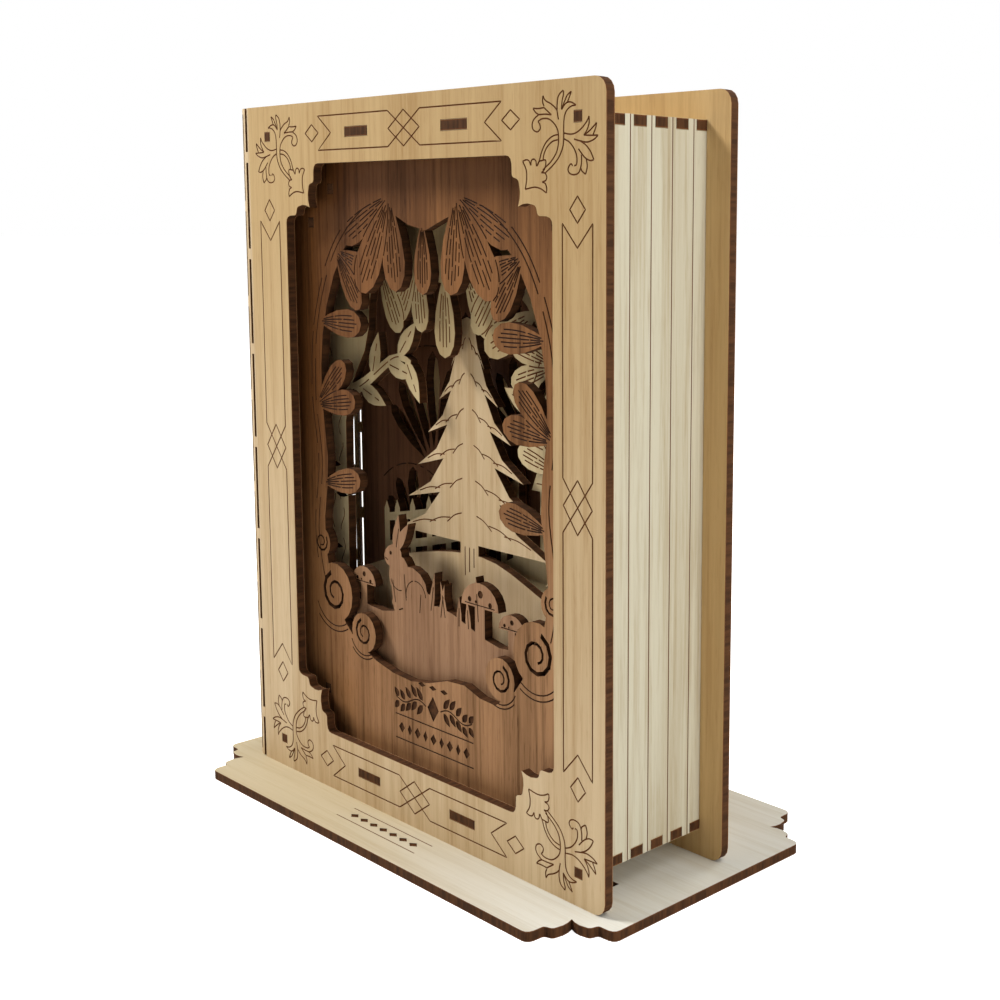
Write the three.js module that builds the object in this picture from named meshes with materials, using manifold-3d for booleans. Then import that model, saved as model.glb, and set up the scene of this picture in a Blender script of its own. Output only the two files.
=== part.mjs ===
// A lamp in the shape of a standing book, laser-cut from veneered board. One sheet wraps round a box as
// front board, spine and back board, and bends at two living hinges. Behind the window of the front board
// stand six cut-out layers, lit from above the last one by a strip of LEDs. Lengths are millimetres, +Z up.
import * as THREE from 'three';
import { mergeVertices } from 'three/addons/utils/BufferGeometryUtils.js';
import Module from 'manifold-3d';

const wasm = await Module();
wasm.setup();

// The sheet that everything is cut from, and the play of its joints
const board = 3;
const fitGap = 0.1;
const overrun = 2;

// Cover: the face runs from the bend to the page edge
const coverHeight = 220;
const faceLength = 167;
const bookDepth = 50;
const bendRadius = 13;
const coverCorner = 4;

// Window of the front board, a plaque with stepped ogee corners
const windowSpineMargin = 21.1;
const windowPageMargin = 19.9;
const windowEndMargin = 18.6;
const ogeeSize = 18.3;

// Living hinge
const hingeSlotWidth = 1.5;
const hingeBridge = 3.5;
const hingePeriods = 7;
const hingeColumns = 6;

// Box inside the cover
const capInset = 8.1;
const pageInset = 8.7;
const spineInset = 9.7;
const coverTabLength = 11.6;
const coverTabSpread = 46.6;
const fingerPitchShare = 0.184;
const fingerWidth = 3.2;
const fingerCount = 5;

// Base plate: how far it reaches past the book on each side
const spineOverhang = 6;
const pageOverhang = 7;
const frontOverhang = 19.4;
const backOverhang = 40.6;
const footWidth = 7;
const footInset = 4;
const footSlotLength = 12;

// Scene layers, from front to back: the gap in front of each, as a share of the room that their boards
// leave between the front board and the battery tray
const layerGapShares = { arch: 0.215, meadow: 0.057, bough: 0.063, fir: 0.203, fence: 0.222, forest: 0.24 };
const layerBackGap = 1.8;
const hungLayers = ['arch', 'bough', 'forest'];
const layerTabLength = 10;
const layerPageGap = 0.4;
const layerSpineGap = 2;
const rodSize = 3;

// Battery holder, let into the back board
const holderHeight = 38;
const holderDepth = 11.4;
const holderRise = 30;
const holderWall = 1.2;
const flangeWidth = 3;
const flangeThick = 1.2;
const switchBayLength = 11;
const cellRadius = 5.25;
const cellLength = 43.7;
const cellPitch = 11.2;
const cellCount = 3;
const nubRadius = 2.7;
const nubLength = 0.8;
const springLength = 3.5;
const cellPlay = 0.3;
const contactThick = 0.4;
const contactWidth = 7;
const springRadius = 2.6;
const springTipRadius = 1.4;

// Battery lid and its rails
const railHeight = 2.8;
const railWidth = 2;
const railLip = 0.9;
const lidThick = 1.2;
const lidGap = 0.3;
const stopWidth = 1.2;
const gripCount = 6;
const gripHeight = 0.5;
const gripPitch = 1.8;

// Slide switch
const switchLength = 8.6;
const switchWidth = 4;
const switchDepth = 4.2;
const switchWall = 0.5;
const switchTravel = 2;
const sliderLength = 3.4;
const sliderDepth = 1.4;
const knobLength = 1.8;
const knobRise = 1.3;
const slideGap = 0.2;

// Light strip and leads
const stripWidth = 8;
const stripThick = 0.4;
const stripEndGap = 12;
const stripEndLength = 8.5;
const ledCount = 7;
const ledSize = 5;
const ledHeight = 1.6;
const leadRadius = 0.7;
const leadSpacing = 2.6;
const leadEdge = 1.5;
const leadBend = 12;

// Places that follow from the sizes above
const faceStart = bendRadius;
const coverLength = bendRadius + faceLength;
const baseLength = spineOverhang + coverLength + pageOverhang;
const baseDepth = frontOverhang + bookDepth + backOverhang;
const backFace = bookDepth - board;
const cellBayLength = cellLength + nubLength + springLength + 2 * (contactThick + cellPlay);
const holderLength = cellBayLength + switchBayLength + 3 * holderWall;
const boxLeft = faceStart + spineInset;
const boxRight = coverLength - pageInset;
const faceMiddle = faceStart + faceLength / 2;
const layerLeft = boxLeft + layerSpineGap;
const layerRight = boxRight - board - layerPageGap;
const layerBottom = capInset + board + fitGap;
const layerTop = coverHeight - capInset - board - fitGap;
const layerWidth = layerRight - layerLeft;
const layerHeight = layerTop - layerBottom;
const trayFloor = bookDepth - holderDepth;
const layerDepths = placeLayers();

const veneer = new THREE.MeshStandardMaterial({ color: 0xd8bf90, roughness: 0.6, metalness: 0 });
const paleVeneer = new THREE.MeshStandardMaterial({ color: 0xd9cfb4, roughness: 0.6, metalness: 0 });
const walnut = new THREE.MeshStandardMaterial({ color: 0x8f6242, roughness: 0.65, metalness: 0 });
const lightWalnut = new THREE.MeshStandardMaterial({ color: 0xa87f5c, roughness: 0.65, metalness: 0 });
const darkWalnut = new THREE.MeshStandardMaterial({ color: 0x7a4f33, roughness: 0.65, metalness: 0 });
const blackPlastic = new THREE.MeshStandardMaterial({ color: 0x1c1c1e, roughness: 0.45, metalness: 0 });
const switchSteel = new THREE.MeshStandardMaterial({ color: 0xb9bcc0, roughness: 0.3, metalness: 1 });
const stripWhite = new THREE.MeshStandardMaterial({ color: 0xf1efe6, roughness: 0.5, metalness: 0 });
const ledYellow = new THREE.MeshStandardMaterial({ color: 0xf0d978, roughness: 0.35, metalness: 0 });
const cellSleeve = new THREE.MeshStandardMaterial({ color: 0x3a6b4a, roughness: 0.35, metalness: 0.2 });
const redCover = new THREE.MeshStandardMaterial({ color: 0xb3231c, roughness: 0.5, metalness: 0 });
const blackCover = new THREE.MeshStandardMaterial({ color: 0x17171a, roughness: 0.5, metalness: 0 });

// Solids. A shape's vertices are merged by position, so that it closes and can be cut and joined.
function solidFrom(geometry) {
  geometry.deleteAttribute('normal');
  geometry.deleteAttribute('uv');
  const merged = mergeVertices(geometry);
  return new wasm.Manifold(new wasm.Mesh({
    numProp: 3,
    vertProperties: Float32Array.from(merged.attributes.position.array),
    triVerts: Uint32Array.from(merged.index.array),
  }));
}

function meshFrom(solid, name, material) {
  const { vertProperties, triVerts } = solid.getMesh();
  const geometry = new THREE.BufferGeometry();
  geometry.setAttribute('position', new THREE.BufferAttribute(vertProperties, 3));
  geometry.setIndex(new THREE.BufferAttribute(triVerts, 1));
  geometry.computeVertexNormals();
  const mesh = new THREE.Mesh(geometry, material);
  mesh.name = name;
  return mesh;
}

function joined(solids) {
  return solids.reduce((whole, solid) => whole.add(solid));
}

function cutBy(solid, cutters) {
  return cutters.length ? solid.subtract(joined(cutters)) : solid;
}

// A flat piece: the outline lies in the local XY plane and is thickened along local Z
function slab(outline, thickness, lift = 0) {
  const shape = new THREE.Shape(outline);
  const geometry = new THREE.ExtrudeGeometry(shape, { depth: thickness, bevelEnabled: false });
  geometry.translate(0, 0, lift);
  return solidFrom(geometry);
}

function cutter(outline, thickness = board) {
  return slab(outline, thickness + 2 * overrun, -overrun);
}

function block(low, high) {
  const geometry = new THREE.BoxGeometry(high[0] - low[0], high[1] - low[1], high[2] - low[2]);
  geometry.translate((low[0] + high[0]) / 2, (low[1] + high[1]) / 2, (low[2] + high[2]) / 2);
  return solidFrom(geometry);
}

// Turn a slab upright: local X stays X, local Y becomes Z, and its low face goes to depth y
function facing(solid, y, thickness = board) {
  return solid.rotate([90, 0, 0]).translate([0, y + thickness, 0]);
}

// Depths of the layers' front faces
function placeLayers() {
  const names = Object.keys(layerGapShares);
  const room = trayFloor - layerBackGap - board - names.length * board;
  const depths = {};
  let front = board;
  for (const name of names) {
    front += layerGapShares[name] * room;
    depths[name] = front;
    front += board;
  }
  return depths;
}

// Outlines
function rectangle(x0, y0, x1, y1) {
  return [[x0, y0], [x1, y0], [x1, y1], [x0, y1]].map(([x, y]) => new THREE.Vector2(x, y));
}

function arcPoints(cx, cy, radiusX, radiusY, from, to, steps) {
  const points = [];
  for (let i = 0; i <= steps; i += 1) {
    const angle = from + (to - from) * i / steps;
    points.push(new THREE.Vector2(cx + radiusX * Math.cos(angle), cy + radiusY * Math.sin(angle)));
  }
  return points;
}

function ellipse(cx, cy, radiusX, radiusY, steps = 20) {
  return arcPoints(cx, cy, radiusX, radiusY, 0, 2 * Math.PI, steps).slice(0, -1);
}

// A board of the cover: square at the bend, rounded at the fore-edge
function boardOutline(x0, x1, height) {
  const steps = 4;
  return [
    new THREE.Vector2(x0, 0),
    ...arcPoints(x1 - coverCorner, coverCorner, coverCorner, coverCorner, -Math.PI / 2, 0, steps),
    ...arcPoints(x1 - coverCorner, height - coverCorner, coverCorner, coverCorner, 0, Math.PI / 2, steps),
    new THREE.Vector2(x0, height),
  ];
}

// Half of an ogee corner, as shares of its size: from the side edge to the inner point on the diagonal,
// each row a curve's control point and its end
const ogeeHalfShares = [
  [[0.00, 0.89], [0.12, 0.875]],
  [[0.19, 0.87], [0.27, 0.87]],
  [[0.32, 0.865], [0.33, 0.79]],
  [[0.34, 0.715], [0.42, 0.71]],
  [[0.57, 0.66], [0.735, 0.735]],
];

function ogeeCorner(cx, cy, inwardX, inwardY) {
  const path = new THREE.Path();
  path.moveTo(0, ogeeSize);
  for (const row of ogeeHalfShares) {
    const [control, end] = row.map(([x, y]) => [x * ogeeSize, y * ogeeSize]);
    path.quadraticCurveTo(...control, ...end);
  }
  const half = path.getPoints(3);
  const mirrored = half.slice(0, -1).reverse().map((p) => new THREE.Vector2(p.y, p.x));
  return [...half, ...mirrored].map((p) => new THREE.Vector2(cx + inwardX * p.x, cy + inwardY * p.y));
}

function plaque(x0, y0, x1, y1) {
  return [
    ...ogeeCorner(x0, y0, 1, 1),
    ...ogeeCorner(x1, y0, -1, 1).reverse(),
    ...ogeeCorner(x1, y1, -1, -1),
    ...ogeeCorner(x0, y1, 1, -1).reverse(),
  ];
}

// Tab places along the cover boards: two long tabs and one short tab at each end of the panel
const longTab = (middle) => [middle - coverTabLength / 2, middle + coverTabLength / 2];
const coverTabs = [
  [boxLeft, boxLeft + board],
  longTab(faceMiddle - coverTabSpread / 2),
  longTab(faceMiddle + coverTabSpread / 2),
  [boxRight - board, boxRight],
];
const panelLevels = [capInset, coverHeight - capInset - board];

// A cutter for a rectangular piece, with its play all round
function fittedCut(x0, y0, x1, y1) {
  return cutter(rectangle(x0 - fitGap, y0 - fitGap, x1 + fitGap, y1 + fitGap));
}

function coverSlots() {
  return panelLevels.flatMap((level) => coverTabs.map(
    ([from, to]) => fittedCut(from, level, to, level + board)));
}

function frontBoard() {
  const window = plaque(faceStart + windowSpineMargin, windowEndMargin,
    coverLength - windowPageMargin, coverHeight - windowEndMargin);
  const face = slab(boardOutline(faceStart, coverLength, coverHeight), board);
  return facing(cutBy(face, [cutter(window), ...coverSlots()]), 0);
}

const holderLeft = faceMiddle - holderLength / 2;
const holderRight = faceMiddle + holderLength / 2;
const holderTop = holderRise + holderHeight;

function backBoard() {
  const opening = fittedCut(holderLeft, holderRise, holderRight, holderTop);
  const face = slab(boardOutline(faceStart, coverLength, coverHeight), board);
  return facing(cutBy(face, [opening, ...coverSlots()]), backFace);
}

function spine() {
  return block([0, bendRadius, 0], [board, bookDepth - bendRadius, coverHeight]);
}

// A living hinge: a quarter bend of the sheet, pierced by columns of slots that the bend opens outwards.
// Slots of even columns run out at the sheet's ends, and those of odd columns are half a period higher.
function livingHinge(middleY, side) {
  const innerRadius = bendRadius - board;
  const step = Math.PI / 2 / hingeColumns;
  const period = coverHeight / hingePeriods;
  const facets = 2 * hingeColumns;
  const quarter = (radius) => arcPoints(bendRadius, 0, radius, radius, Math.PI, Math.PI / 2, facets);
  const bend = slab([...quarter(bendRadius), ...quarter(innerRadius).reverse()], coverHeight);
  const halfSlot = hingeSlotWidth / bendRadius / 2;
  const corner = (radius, angle) => new THREE.Vector2(
    bendRadius + radius * Math.cos(angle), radius * Math.sin(angle));
  const cutters = [];
  for (let column = 0; column < hingeColumns; column += 1) {
    const angle = Math.PI / 2 + (column + 0.5) * step;
    const near = innerRadius - overrun;
    const far = bendRadius + overrun;
    const wedge = [corner(near, angle - halfSlot), corner(far, angle - halfSlot),
      corner(far, angle + halfSlot), corner(near, angle + halfSlot)];
    const start = column % 2 ? 0 : -period / 2;
    for (let k = 0; start + k * period < coverHeight; k += 1) {
      const low = Math.max(start + k * period + hingeBridge / 2, -overrun);
      const high = Math.min(start + (k + 1) * period - hingeBridge / 2, coverHeight + overrun);
      cutters.push(slab(wedge, high - low, low));
    }
  }
  const hinge = cutBy(bend, cutters);
  return side > 0 ? hinge.translate([0, middleY, 0]) : hinge.mirror([0, 1, 0]).translate([0, middleY, 0]);
}

// Box panels. A cap is the top or bottom panel, with tabs through both covers, finger tabs through the
// page panel and slots for the layers' tabs.
function fingerEdges() {
  const edges = [];
  const fingerPitch = fingerPitchShare * (backFace - board);
  for (let i = 0; i < fingerCount; i += 1) {
    const middle = bookDepth / 2 + (i - (fingerCount - 1) / 2) * fingerPitch;
    edges.push([middle - fingerWidth / 2, middle + fingerWidth / 2]);
  }
  return edges;
}

const layerTabShares = [0.2, 0.72];
const layerTabs = layerTabShares.map((share) => layerLeft + share * layerWidth);
const feet = [layerLeft + footInset, layerRight - footInset - footWidth];

// The bough layer stands on two long feet, which reach through the bottom panel into the base plate
function lowerTabs(name) {
  return name === 'bough'
    ? { starts: feet, width: footWidth, low: -board }
    : { starts: layerTabs, width: layerTabLength, low: capInset };
}

function layerSlots(name, isBottom) {
  const y = layerDepths[name];
  const { starts, width } = isBottom ? lowerTabs(name) : { starts: layerTabs, width: layerTabLength };
  return starts.map((x) => fittedCut(x, y, x + width, y + board));
}

function cap(level, isBottom) {
  const parts = [slab(rectangle(boxLeft, board + fitGap, boxRight, backFace - fitGap), board)];
  for (const [from, to] of coverTabs) {
    parts.push(slab(rectangle(from, 0, to, bookDepth), board));
  }
  const fingers = fingerEdges().map(([from, to]) => cutter(
    rectangle(boxRight - board - fitGap, from - fitGap, boxRight + overrun, to + fitGap)));
  const names = isBottom ? Object.keys(layerDepths) : hungLayers;
  const slots = names.flatMap((name) => layerSlots(name, isBottom));
  return cutBy(joined(parts), [...fingers, ...slots]).translate([0, 0, level]);
}

function pagePanel() {
  const low = capInset;
  const high = coverHeight - capInset;
  const panel = slab(rectangle(board + fitGap, low, backFace - fitGap, high), board);
  const edges = [0, ...fingerEdges().flat(), bookDepth];
  const notches = [];
  for (let i = 0; i < edges.length; i += 2) {
    notches.push(cutter(rectangle(edges[i], low - overrun, edges[i + 1], low + board + fitGap)));
    notches.push(cutter(rectangle(edges[i], high - board - fitGap, edges[i + 1], high + overrun)));
  }
  return cutBy(panel, notches).rotate([90, 0, 0]).rotate([0, 0, 90]).translate([boxRight - board, 0, 0]);
}

function basePlate() {
  const slots = feet.map((x, i) => {
    const start = i ? x + footWidth + footInset - footSlotLength : x - footInset;
    return fittedCut(start, layerDepths.bough, start + footSlotLength, layerDepths.bough + board);
  });
  const plate = slab(plaque(-spineOverhang, -frontOverhang, baseLength - spineOverhang,
    baseDepth - frontOverhang), board);
  return cutBy(plate, slots).translate([0, 0, -board]);
}

// Scene layers. Tables of shares give places and sizes within a layer, or within a motif's own size.
const across = (share) => share * layerWidth;
const up = (share) => share * layerHeight;
const at = (u, v) => new THREE.Vector2(layerLeft + across(u), layerBottom + up(v));
const sheetShares = [[0, 0], [1, 0], [1, 1], [0, 1]];

function sheet() {
  return slab(sheetShares.map(([u, v]) => at(u, v)), board);
}

// An opening's smooth edge, drawn clockwise, and its outline
function edgeCurve(rows) {
  return new THREE.CatmullRomCurve3(rows.map(([u, v]) => new THREE.Vector3(...at(u, v), 0)), true);
}

function outlineOf(curve, steps) {
  return curve.getPoints(steps).slice(0, -1).map((p) => new THREE.Vector2(p.x, p.y));
}

// Ground: a smooth line across the layer, closed along the layer's lower edge
function ground(rows, steps = 24) {
  const curve = new THREE.SplineCurve(rows.map(([u, v]) => at(u, v)));
  return slab([at(0, 0), ...curve.getPoints(steps), at(1, 0)], board);
}

// A motif's outline, with its points as shares of one size and counted from its foot
function motif(foot, size, rows) {
  return rows.map(([x, y]) => new THREE.Vector2(foot.x + x * size, foot.y + y * size));
}

// A leaf: pointed at both ends and widest before its middle
const leafBulgeShare = 0.8;

function leaf(base, turns, length, width, steps = 5) {
  const angle = turns * 2 * Math.PI;
  const along = new THREE.Vector2(Math.cos(angle), Math.sin(angle));
  const side = new THREE.Vector2(-along.y, along.x);
  const edge = [];
  for (let i = 0; i <= steps; i += 1) {
    const share = i / steps;
    edge.push([share * length, width / 2 * Math.sin(Math.PI * share ** leafBulgeShare)]);
  }
  const point = ([reach, half]) => base.clone().addScaledVector(along, reach).addScaledVector(side, half);
  return [...edge.map(point), ...edge.slice(1, -1).reverse().map(([reach, half]) => point([reach, -half]))];
}

// A lobe: a leaf that widens to a round end. Its shares place its widest point and round its shoulders.
const lobeShares = { widest: 0.7, shoulder: 1 };

function lobe(base, turns, length, width, steps = 3) {
  const angle = turns * 2 * Math.PI;
  const along = new THREE.Vector2(Math.cos(angle), Math.sin(angle));
  const side = new THREE.Vector2(-along.y, along.x);
  const edge = [];
  for (let i = 0; i < steps; i += 1) {
    const share = i / steps;
    const half = width / 2 * Math.sin(Math.PI / 2 * share) ** lobeShares.shoulder;
    edge.push([lobeShares.widest * share * length, half]);
  }
  for (let i = 0; i <= steps; i += 1) {
    const round = Math.PI / 2 * i / steps;
    const reach = lobeShares.widest + (1 - lobeShares.widest) * Math.sin(round);
    edge.push([reach * length, width / 2 * Math.cos(round)]);
  }
  const point = ([reach, half]) => base.clone().addScaledVector(along, reach).addScaledVector(side, half);
  return [...edge.map(point), ...edge.slice(1, -1).reverse().map(([reach, half]) => point([reach, -half]))];
}

// Sprays of lobes that hang from an opening's edge into it. Each row is a place along the edge, the number
// of lobes, the length of the middle one as a share of the layer's height, and the spray's lean in turns.
const sprayShares = { width: 0.38, root: 0.14, fan: 0.095, outer: 0.86 };

function sprays(curve, rows) {
  return rows.flatMap(([share, count, lengthShare, lean]) => {
    const p = curve.getPoint(share);
    const d = curve.getTangent(share);
    const inward = new THREE.Vector2(d.y, -d.x);
    const root = new THREE.Vector2(p.x, p.y).addScaledVector(inward, -sprayShares.root * up(lengthShare));
    const turns = Math.atan2(inward.y, inward.x) / (2 * Math.PI) + lean;
    const lobes = [];
    for (let i = 0; i < count; i += 1) {
      const aside = i - (count - 1) / 2;
      const length = up(lengthShare) * sprayShares.outer ** Math.abs(aside);
      const angle = turns + sprayShares.fan * aside;
      lobes.push(slab(lobe(root, angle, length, sprayShares.width * length), board));
    }
    return lobes;
  });
}

// A volute: a disc with a spiral slot. Its shares are the slot's inner and outer radius and its width.
const voluteShares = { inner: 0.22, outer: 0.68, slot: 0.16 };
const voluteTurns = 1.4;

function volute(middle, radius, startTurns, direction, steps = 16) {
  const outer = [];
  const inner = [];
  for (let i = 0; i <= steps; i += 1) {
    const share = i / steps;
    const angle = 2 * Math.PI * (startTurns + direction * voluteTurns * share);
    const reach = radius * (voluteShares.outer + (voluteShares.inner - voluteShares.outer) * share);
    const half = radius * voluteShares.slot / 2 * (1 - share / 2);
    const spoke = new THREE.Vector2(Math.cos(angle), Math.sin(angle));
    outer.push(middle.clone().addScaledVector(spoke, reach + half));
    inner.unshift(middle.clone().addScaledVector(spoke, reach - half));
  }
  const spiral = direction > 0 ? [...outer, ...inner] : [...outer, ...inner].reverse();
  return { disc: slab(ellipse(middle.x, middle.y, radius, radius, 18), board), slot: cutter(spiral) };
}

// A limb: a tapering branch or trunk round a smooth centre line
function limb(curve, startWidth, endWidth, steps = 8) {
  const left = [];
  const right = [];
  for (let i = 0; i <= steps; i += 1) {
    const p = curve.getPoint(i / steps);
    const d = curve.getTangent(i / steps);
    const half = (startWidth + (endWidth - startWidth) * i / steps) / 2;
    left.push(new THREE.Vector2(p.x - d.y * half, p.y + d.x * half));
    right.unshift(new THREE.Vector2(p.x + d.y * half, p.y - d.x * half));
  }
  return slab([...left, ...right], board);
}

// A limb with leaves on both sides by turns
const limbLeafShares = { turn: 0.12, start: 0.3, end: 0.86, width: 0.4 };

function leafyLimb(rows, startWidth, endWidth, count, length) {
  const curve = new THREE.SplineCurve(rows.map(([u, v]) => at(u, v)));
  const parts = [limb(curve, startWidth, endWidth)];
  for (let i = 0; i < count; i += 1) {
    const share = limbLeafShares.start + (limbLeafShares.end - limbLeafShares.start) * i / (count - 1);
    const d = curve.getTangent(share);
    const lean = i % 2 ? limbLeafShares.turn : -limbLeafShares.turn;
    const turns = Math.atan2(d.y, d.x) / (2 * Math.PI) + lean;
    parts.push(slab(leaf(curve.getPoint(share), turns, length, limbLeafShares.width * length), board));
  }
  return parts;
}

// A fir: tiers of drooping boughs, each narrower than the one below. A tier's points are shares of its
// half width and its height.
const firTierShares = [[1, -0.22], [0.62, 0.34], [0.4, 1.09]];
const firTipShare = 1.03;
const firTaperShare = 0.85;

function fir(foot, height, width, tiers) {
  const side = [];
  for (let i = 0; i < tiers; i += 1) {
    const half = width / 2 * (1 - i / tiers) ** firTaperShare;
    for (const [x, y] of firTierShares) {
      side.push([half * x, (i + y) * height / tiers]);
    }
  }
  side.push([0, height * firTipShare]);
  const right = side.map(([x, y]) => new THREE.Vector2(foot.x + x, foot.y + y));
  const left = side.slice(0, -1).reverse().map(([x, y]) => new THREE.Vector2(foot.x - x, foot.y + y));
  return [...right, ...left];
}

// A toadstool: shares of its height, and of its cap's width for the stem
const toadstoolShares = { stemWidth: 0.26, stemTop: 0.75, capFoot: 0.62 };

function toadstool(foot, height, capWidth) {
  const half = toadstoolShares.stemWidth * capWidth / 2;
  const stem = rectangle(foot.x - half, foot.y, foot.x + half, foot.y + height * toadstoolShares.stemTop);
  const dome = arcPoints(foot.x, foot.y + height * toadstoolShares.capFoot, capWidth / 2,
    height * (1 - toadstoolShares.capFoot), 0, Math.PI, 10);
  return slab(stem, board).add(slab(dome, board));
}

// A sitting rabbit: its ovals' middles and half sizes with their turn, and its ears' roots, turns, lengths
// and widths, as shares of one size
const rabbitOvalShares = [
  [0, 0.48, 0.62, 0.5, 0], [0.25, 0.35, 0.42, 0.4, 0], [-0.36, 0.75, 0.34, 0.42, -0.05],
  [-0.56, 1.12, 0.32, 0.24, 0.06], [0.66, 0.34, 0.17, 0.17, 0], [-0.42, 0.12, 0.2, 0.13, 0],
];
const rabbitEarShares = [[-0.5, 1.2, 0.22, 0.85, 0.25], [-0.5, 1.2, 0.15, 0.85, 0.25]];

function rabbit(foot, size) {
  const ovals = rabbitOvalShares.map(([x, y, halfLength, halfHeight, turn]) => {
    const oval = slab(ellipse(0, 0, halfLength * size, halfHeight * size, 14), board);
    return oval.rotate([0, 0, turn * 360]).translate([foot.x + x * size, foot.y + y * size, 0]);
  });
  const ears = rabbitEarShares.map(([x, y, turn, length, width]) => {
    const root = new THREE.Vector2(foot.x + x * size, foot.y + y * size);
    return slab(leaf(root, turn, length * size, width * size), board);
  });
  return joined([...ovals, ...ears]);
}

// A picket fence whose rails follow a smooth line. A picket's points are shares of its width and height.
const railHeightShares = [0.3, 0.78];
const picketShares = [[-0.5, -0.4], [0.5, -0.4], [0.5, 0.92], [0, 1.06], [-0.5, 0.92]];

function picketFence(rows, pickets, height, width) {
  const lineAt = (lift) => new THREE.SplineCurve(rows.map(([u, v]) => {
    const p = at(u, v);
    return new THREE.Vector2(p.x, p.y + lift);
  }));
  const parts = railHeightShares.map((share) => limb(lineAt(share * height), width, width));
  for (let i = 0; i < pickets; i += 1) {
    const p = lineAt(0).getPoint(i / (pickets - 1));
    const outline = picketShares.map(([x, y]) => new THREE.Vector2(p.x + x * width, p.y + y * height));
    parts.push(slab(outline, board));
  }
  return joined(parts);
}

// A cottage, in shares of its width
const cottageShares = {
  walls: [[0.08, -0.3], [0.92, -0.3], [0.92, 0.5], [0.08, 0.5]],
  roof: [[-0.04, 0.46], [1.04, 0.46], [0.84, 0.92], [0.16, 0.92]],
  chimney: [[0.62, 0.6], [0.76, 0.6], [0.76, 1.14], [0.62, 1.14]],
  door: [[0.52, 0.02], [0.7, 0.02], [0.7, 0.32], [0.52, 0.32]],
  pane: [[0, 0], [0.1, 0], [0.1, 0.1], [0, 0.1]],
  paneColumns: [0.17, 0.3],
  paneRows: [0.13, 0.27],
};

function cottage(foot, width) {
  const outline = (rows) => motif(foot, width, rows);
  const { walls, roof, chimney, door, pane, paneColumns, paneRows } = cottageShares;
  const panes = paneColumns.flatMap((column) => paneRows.map((row) => cutter(
    outline(pane.map(([x, y]) => [x + column, y + row])))));
  return cutBy(joined([walls, roof, chimney].map((rows) => slab(outline(rows), board))),
    [cutter(outline(door)), ...panes]);
}

// Tabs that hold a layer in the caps, and the holes that its rods pass through
function layerTabSlabs(name) {
  const parts = [];
  if (hungLayers.includes(name)) {
    for (const x of layerTabs) {
      parts.push(slab(rectangle(x, layerTop - overrun, x + layerTabLength, coverHeight - capInset), board));
    }
  }
  const { starts, width, low } = lowerTabs(name);
  for (const x of starts) {
    parts.push(slab(rectangle(x, low, x + width, layerBottom + overrun), board));
  }
  return parts;
}

// Rods run from the front layer to the back one, two near each upper corner and one near each lower one
const upperRodShares = [[0.095, 0.871], [0.173, 0.924], [0.905, 0.871], [0.827, 0.924]];
const lowerRodShares = [[0.119, 0.095], [0.881, 0.095]];
const rodShares = [...upperRodShares, ...lowerRodShares];

function rodHoles(rows) {
  return rows.map(([u, v]) => {
    const p = at(u, v);
    const half = rodSize / 2 + fitGap;
    return cutter(rectangle(p.x - half, p.y - half, p.x + half, p.y + half));
  });
}

function layer(name, parts, holes, rods) {
  const solid = cutBy(joined([...parts, ...layerTabSlabs(name)]), [...holes, ...rodHoles(rods)]);
  return facing(solid, layerDepths[name]);
}

const archOpeningShares = [
  [0.15, 0.27], [0.12, 0.36], [0.14, 0.48], [0.12, 0.60], [0.14, 0.72], [0.22, 0.83], [0.36, 0.89],
  [0.50, 0.86], [0.64, 0.89], [0.78, 0.83], [0.86, 0.72], [0.88, 0.60], [0.86, 0.48], [0.88, 0.36],
  [0.85, 0.27], [0.72, 0.17], [0.60, 0.185], [0.45, 0.16], [0.30, 0.175], [0.20, 0.215],
];
const archSprayShares = [
  [0.085, 1, 0.11, 0.05], [0.14, 2, 0.12, 0.05], [0.195, 1, 0.12, 0.04], [0.243, 2, 0.12, 0],
  [0.308, 3, 0.17, -0.05], [0.35, 1, 0.11, 0], [0.392, 3, 0.17, 0.05], [0.457, 2, 0.12, 0],
  [0.505, 1, 0.12, -0.04], [0.56, 2, 0.12, -0.05], [0.615, 1, 0.11, -0.05],
];
const voluteRowShares = [
  [0.155, 0.265, 0.068, 0.3, 1], [0.265, 0.212, 0.045, 0.3, 1], [0.105, 0.345, 0.035, 0.1, -1],
  [0.845, 0.265, 0.068, 0.2, -1], [0.735, 0.212, 0.045, 0.2, -1], [0.895, 0.345, 0.035, 0.4, 1],
];

function archLayer() {
  const edge = edgeCurve(archOpeningShares);
  const frame = cutBy(sheet(), [cutter(outlineOf(edge, 48))]);
  const lobes = sprays(edge, archSprayShares);
  const volutes = voluteRowShares.map(([u, v, radius, start, direction]) => volute(
    at(u, v), across(radius), start, direction));
  const slots = volutes.map(({ slot }) => slot);
  return layer('arch', [frame, ...lobes, ...volutes.map(({ disc }) => disc)], slots, rodShares);
}

const meadowGroundShares = [
  [0, 0.24], [0.12, 0.27], [0.3, 0.25], [0.5, 0.285], [0.7, 0.25], [0.88, 0.27], [1, 0.24],
];
const grassShares = {
  start: 0.36, pitch: 0.035, foot: 0.23, length: 0.1, width: 0.02, turn: 0.03, spread: 0.02,
};
const grassBlades = 9;
const rabbitShares = [0.4, 0.262, 0.075];
const toadstoolRowShares = [[0.64, 0.24, 0.1, 0.12], [0.74, 0.24, 0.065, 0.08], [0.23, 0.24, 0.075, 0.09]];

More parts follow.
